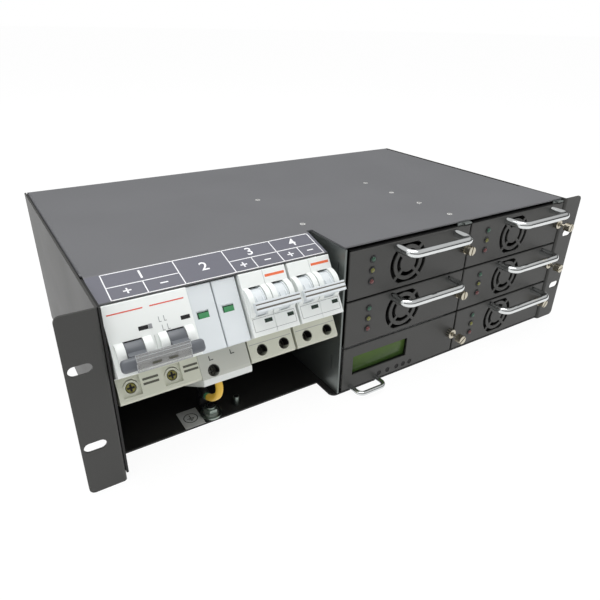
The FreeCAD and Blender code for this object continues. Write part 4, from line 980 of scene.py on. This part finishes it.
STUD = Vector((-142.0, 33.0, 0)) * mm
SPARE_STUD = Vector((-119.5, 34.0, 0)) * mm
TRAY_FLOOR = cad_low.z + 1.5 * mm
WASHER_TOP = TRAY_FLOOR + 2.6 * mm
NUT_TOP = WASHER_TOP + 5.4 * mm
SLEEVE_START = Vector((-147.0, 26.5, -40.9)) * mm
SLEEVE_AHEAD = Vector((1.6, 11.5, -1.8)).normalized()
EARTH_PLATE_X = (-166.0, -150.0)
EARTH_PLATE_Y = (25.0, 46.0)
EARTH_STROKES = ((0, 1.6, 0.35, 1.9), (0, -0.3, 2.9, 0.36), (0, -1.6, 1.9, 0.36), (0, -2.9, 0.9, 0.36))
BARREL_Y = 38.5 * mm
GREEN_Y = 22.8 * mm
SLEEVE_T = 0.6 * mm

plated = metal("plated steel", 0.34, 0.40, 0.36, 0.34)
dress(plated, "earth_studs")
lug_metal, shader, place = blank_finish("tinned lug in its boot", Roughness=0.4)
barrel = place.part("Y") > BARREL_Y
feed(
    shader,
    Base_Color=barrel.blend(colour(0.55, 0.56, 0.55), colour(0.008, 0.008, 0.009)),
    Metallic=1 - barrel,
)
dress(lug_metal, "earth_lug")
wire_sleeve, shader, place = blank_finish("earth wire sleeve", Roughness=0.38, Specular_IOR_Level=0.5)
green_side = place.part("Y") > GREEN_Y
feed(shader, Base_Color=green_side.blend(
    place.grain(300.0).blend(colour(0.76, 0.47, 0.05), colour(0.86, 0.56, 0.08)),
    place.grain(300.0).blend(colour(0.03, 0.20, 0.09), colour(0.05, 0.28, 0.13)),
))
dress(wire_sleeve, "earth_wire")

sleeve = merged_copy("earth_wire", "wire_boot")
bpy.ops.object.mode_set(mode="EDIT")
bpy.ops.mesh.select_all(action="SELECT")
bpy.ops.mesh.bisect(plane_co=SLEEVE_START, plane_no=SLEEVE_AHEAD, clear_inner=True, use_fill=True)
bpy.ops.mesh.select_all(action="SELECT")
bpy.ops.mesh.normals_make_consistent(inside=False)
bpy.ops.transform.shrink_fatten(value=SLEEVE_T)
leave_edit()
bpy.ops.object.shade_smooth_by_angle(angle=math.radians(40))
finish_piece(sleeve, black, "chassis")

nylon = add_round("nut_ring", 3.9 * mm, 0.5 * mm, (STUD.x, STUD.y, NUT_TOP + 0.1 * mm), sides=32)
nylon = carve(nylon, add_round("bore", 3.0 * mm, 2 * mm, (STUD.x, STUD.y, NUT_TOP), sides=32))
finish_piece(ease(nylon, 0.12 * mm), black, "chassis")
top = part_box("earth_studs")[1].z
caps = [
    add_round("cap", 2.5 * mm, 0.3 * mm, (STUD.x, STUD.y, top + 0.1 * mm), sides=24, cap_radius=2.1 * mm),
    add_round("cap", 2.1 * mm, 0.3 * mm, (SPARE_STUD.x, SPARE_STUD.y, TRAY_FLOOR + 7.5 * mm), sides=24,
              cap_radius=1.7 * mm),
]
finish_piece(join("stud_ends", caps), black, "chassis")

plate_grey = powder_coat("earth plate", 0.46, 0.47, 0.46, 0.4)
ink_black = speckled("black ink", 700.0, (0.012, 0.012, 0.012), (0.03, 0.03, 0.03), Roughness=0.5)
plate = add_block("earth_plate", (EARTH_PLATE_X[0] * mm, EARTH_PLATE_Y[0] * mm, TRAY_FLOOR),
                  (EARTH_PLATE_X[1] * mm, EARTH_PLATE_Y[1] * mm, TRAY_FLOOR + 0.35 * mm))
finish_piece(ease(plate, 0.1 * mm), plate_grey, "chassis")
centre = Vector((sum(EARTH_PLATE_X) / 2, sum(EARTH_PLATE_Y) / 2, 0)) * mm
centre.z = TRAY_FLOOR + 0.36 * mm
ring = add_round("ring", 5.6 * mm, 0.06 * mm, centre, sides=48)
ring = carve(ring, add_round("bore", 4.9 * mm, 1 * mm, centre, sides=48))
lines = [ring]
for x, y, half_x, half_y in EARTH_STROKES:
    middle = centre + Vector((x, y, 0)) * mm
    half = Vector((half_x, half_y, 0.03)) * mm
    lines.append(add_block("line", middle - half, middle + half))
finish_piece(join("earth_mark", lines), ink_black, "chassis")

# ------------------------------------------------------------ module fronts
# Each plug-in module has a painted front plate with a fan grille behind which its fan sits
# in a black housing, three lamps in dark bezels, and a bare sheet case.

LAMP_Z = (12.6, 21.9, 31.0)
LAMP_X = 22.0
BEZEL_R = 2.6
LAMP_R = 1.95
HOUSING_BACK = 23.6
PLATE_FACE = 1.5
RECTIFIERS = ["rectifier_%d" % number for number in range(1, 6)]


def module_case(name, black_to):
    """Mill-finish aluminium case; all in front of a depth is the black fan housing."""
    material, shader, place = blank_finish(name)
    streaks = place.stretched(3.0, 3.0, 160.0).grain(6.0, 4.0)
    housing = place.part("Y") < black_to
    sheet = streaks.blend(colour(0.44, 0.45, 0.46), colour(0.64, 0.65, 0.66))
    feed(
        shader,
        Base_Color=housing.blend(sheet, colour(0.006, 0.006, 0.006)),
        Metallic=(1 - housing) * 0.85,
        Roughness=streaks * 0.2 + 0.35,
    )
    return material


fan_black = moulded("fan plastic", 0.010, 0.010, 0.011, 0.5)
rectifier_sheet = module_case("rectifier case", HOUSING_BACK * mm)
dress(rectifier_sheet, *(name + "_case" for name in RECTIFIERS))
lamp_finish = {}
for tint, deep, pale in (
    ("red", (0.06, 0.012, 0.012), (0.17, 0.04, 0.04)),
    ("yellow", (0.08, 0.08, 0.015), (0.20, 0.20, 0.04)),
    ("green", (0.01, 0.05, 0.03), (0.035, 0.12, 0.07)),
):
    lamp_finish[tint] = speckled(tint + " lamp", 500.0, deep, pale, Roughness=0.25, Coat_Weight=0.3)

select_none()
bpy.ops.mesh.primitive_torus_add(
    major_radius=BEZEL_R * mm, minor_radius=0.5 * mm, major_segments=28, minor_segments=8,
    rotation=(math.radians(90), 0, 0),
)
bezel_master = settle(bpy.context.object)
bpy.ops.object.shade_smooth()
select_none()
bpy.ops.mesh.primitive_uv_sphere_add(segments=20, ring_count=10, radius=LAMP_R * mm, scale=(1, 0.6, 1))
dome_master = settle(bpy.context.object)
bpy.ops.object.shade_smooth()
floor_master = add_round("lamp well", (BEZEL_R + 0.1) * mm, 0.1 * mm, (0, 0, 0), "Y", 24)
for name in RECTIFIERS:
    dress(charcoal, name + "_front")
    dress(fan_black, name + "_fan")
    low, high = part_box(name + "_front")
    bezels = []
    for height, tint in zip(LAMP_Z, lamp_finish):
        centre = Vector((low.x + LAMP_X * mm, (PLATE_FACE - 0.72) * mm, low.z + height * mm))
        bezels.append(copy_to(bezel_master, "bezel", centre + Vector((0, 0.45 * mm, 0))))
        bezels.append(copy_to(floor_master, "well", centre + Vector((0, 0.06 * mm, 0))))
        dome = copy_to(dome_master, "%s_lamp_%s" % (name, tint), centre)
        finish_piece(dome, lamp_finish[tint], name)
    finish_piece(join(name + "_bezels", bezels), black, name)
for master in (bezel_master, dome_master, floor_master):
    bpy.data.objects.remove(master)

# ------------------------------------------------------------ pull handles
# Round steel bar bent to a U, polished and chromed, screwed on from behind the plate. The
# controller has a smaller one. Sizes: radius, span, reach and bend radius.

LARGE_HANDLE = (3.2, 64.0, 18.5, 7.0)
SMALL_HANDLE = (2.0, 26.6, 14.5, 5.0)


def bent_handle(name, radius, span, reach, bend):
    """Foot at the origin, out along -Y, across along +X and back to the plate."""
    select_none()
    bpy.ops.mesh.primitive_circle_add(
        vertices=28, radius=radius, fill_type="NGON", rotation=(math.radians(90), 0, 0)
    )
    bar = settle(bpy.context.object)
    bar.name = name
    bpy.ops.object.mode_set(mode="EDIT")
    bpy.ops.mesh.select_mode(type="FACE")
    bpy.ops.mesh.select_all(action="SELECT")
    straight = reach - bend
    quarter = math.radians(-90)
    bpy.ops.mesh.extrude_region_move(TRANSFORM_OT_translate={"value": (0, -straight, 0)})
    bpy.ops.mesh.spin(steps=10, angle=quarter, center=(bend, -straight, 0), axis=(0, 0, 1))
    bpy.ops.mesh.extrude_region_move(TRANSFORM_OT_translate={"value": (span - 2 * bend, 0, 0)})
    bpy.ops.mesh.spin(steps=10, angle=quarter, center=(span - bend, -straight, 0), axis=(0, 0, 1))
    bpy.ops.mesh.extrude_region_move(TRANSFORM_OT_translate={"value": (0, straight, 0)})
    bpy.ops.mesh.select_all(action="SELECT")
    bpy.ops.mesh.remove_doubles(threshold=0.000005)
    bpy.ops.mesh.normals_make_consistent(inside=False)
    leave_edit()
    bpy.ops.object.shade_smooth_by_angle(angle=math.radians(35))
    return bar


chrome, shader, place = blank_finish("polished chrome", Metallic=1.0)
smear = place.grain(120.0, 3.0)
feed(
    shader,
    Base_Color=smear.blend(colour(0.66, 0.68, 0.68), colour(0.78, 0.80, 0.80)),
    Roughness=smear * 0.06 + 0.03,
)
for names, sizes in ((RECTIFIERS, LARGE_HANDLE), (["monitor"], SMALL_HANDLE)):
    master = bent_handle("handle", *(size * mm for size in sizes))
    for name in names:
        low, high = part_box(name + "_handle")
        foot = (low.x + sizes[0] * mm, high.y, (low.z + high.z) / 2)
        handle = copy_to(master, name + "_pull", foot)
        finish_piece(handle, chrome, name)
        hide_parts(name + "_handle")
    bpy.data.objects.remove(master)

# ------------------------------------------------------------ captive thumbscrews
# Every module is held by one: a knurled knob with a driver slot on a steel shank, turning
# in a notched ferrule that is pressed into the plate. Both are turned brass, nickelled.

KNOB_R = 3.9
KNOB_LENGTH = 5.8
KNOB_SIDES = 44
FERRULE_R = 4.35
FERRULE_Y = (-2.2, 1.45)
FERRULE_SIDES = 24
SHANK_R = 1.5
SHANK_LAP = 0.5
SLOT_TURNS = (8, 0, 20, 75, 30, 50)
nickel = metal("satin nickel", 0.60, 0.56, 0.46, 0.3)


def knurl(piece, count, depth):
    """Press narrow grooves into every second side face of a drum along Y."""
    def grooved(face):
        if abs(face.normal.y) > 0.5:
            return False
        turn = math.atan2(face.center.z, face.center.x) / math.tau * count
        return int(math.floor(turn)) % 2 == 0
    pick_faces(piece, grooved)
    bpy.ops.mesh.inset(thickness=0.00005, depth=-depth, use_individual=True)
    leave_edit()
    return piece


knob = add_round("knob", KNOB_R * mm, KNOB_LENGTH * mm, (0, KNOB_LENGTH / 2 * mm, 0), "Y", KNOB_SIDES)
knob = knurl(knob, KNOB_SIDES, 0.28 * mm)
knob = carve(knob, add_block("slot", (-0.6 * mm, -1 * mm, -6 * mm), (0.6 * mm, 1.5 * mm, 6 * mm)))
ferrule = add_round(
    "ferrule", FERRULE_R * mm, (FERRULE_Y[1] - FERRULE_Y[0]) * mm,
    (0, sum(FERRULE_Y) / 2 * mm, 0), "Y", FERRULE_SIDES,
)
ferrule = knurl(ferrule, FERRULE_SIDES, 0.5 * mm)
ferrule = carve(ferrule, add_round("bore", 2.1 * mm, 20 * mm, (0, 0, 0), "Y", 24))
for name, angle in zip(RECTIFIERS + ["monitor"], SLOT_TURNS):
    low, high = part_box(name + "_screw")
    middle = Vector(((low.x + high.x) / 2, 0, (low.z + high.z) / 2))
    turn = Matrix.Rotation(math.radians(angle), 3, "Y")
    head = copy_to(knob, "head", middle + Vector((0, low.y, 0)), turn)
    front = low.y + (KNOB_LENGTH - SHANK_LAP) * mm
    place = middle + Vector((0, (front + high.y) / 2, 0))
    shank = ease(add_round("shank", SHANK_R * mm, high.y - front, place, "Y", 20), 0.2 * mm)
    screw = join(name + "_thumbscrew", [head, shank])
    finish_piece(screw, nickel, name + "_screw")
    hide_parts(name + "_screw")
    finish_piece(copy_to(ferrule, name + "_ferrule", middle), nickel, name)
for master in (knob, ferrule):
    bpy.data.objects.remove(master)

# ------------------------------------------------------------ controller module
# The lowest left module is the controller: a green display behind a deep window, five
# round black keys, and boards in a bare sheet case.

GLASS_X = (9.9, 68.7)
GLASS_Y = (4.2, 4.45)
GLASS_Z = (13.4, 31.0)
control_sheet = module_case("controller case", 0.0)
dress(control_sheet, "monitor_case")
dress(charcoal, "monitor_front")
key_black = speckled(
    "key rubber", 900.0, (0.002, 0.002, 0.002), (0.006, 0.006, 0.006), Roughness=0.3, Specular_IOR_Level=0.2
)
dress(key_black, "monitor_display", *("monitor_button_%d" % n for n in range(1, 6)))
low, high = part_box("monitor_front")
lcd, shader, place = blank_finish("display glass", Roughness=0.18, Specular_IOR_Level=0.15)
# The glass is drawn lighter towards its top: a painted highlight.
painted_light_rise = (place.part("Z") - (low.z + GLASS_Z[0] * mm)) * (1 / ((GLASS_Z[1] - GLASS_Z[0]) * mm))
tone = (painted_light_rise * 0.9 + place.grain(30.0) * 0.2).clamp()
feed(shader, Base_Color=tone.blend(colour(0.020, 0.045, 0.012), colour(0.085, 0.145, 0.034)))
glass = add_block(
    "display_glass",
    (low.x + GLASS_X[0] * mm, GLASS_Y[0] * mm, low.z + GLASS_Z[0] * mm),
    (low.x + GLASS_X[1] * mm, GLASS_Y[1] * mm, low.z + GLASS_Z[1] * mm),
)
finish_piece(ease(glass, 0.08 * mm), lcd, "monitor")

# ------------------------------------------------------------ backplane and bus bars
# Behind the modules stands a green circuit board with a socket for each of them; two
# copper bars run along it into the wiring bay.

board = speckled(
    "circuit board", 220.0, (0.015, 0.09, 0.04), (0.03, 0.15, 0.07), Roughness=0.35, Coat_Weight=0.4
)
dress(board, "backplane")
copper = metal("copper", 0.78, 0.42, 0.27, 0.3)
dress(copper, "bus_bars")

# ------------------------------------------------------------ end

low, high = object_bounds()
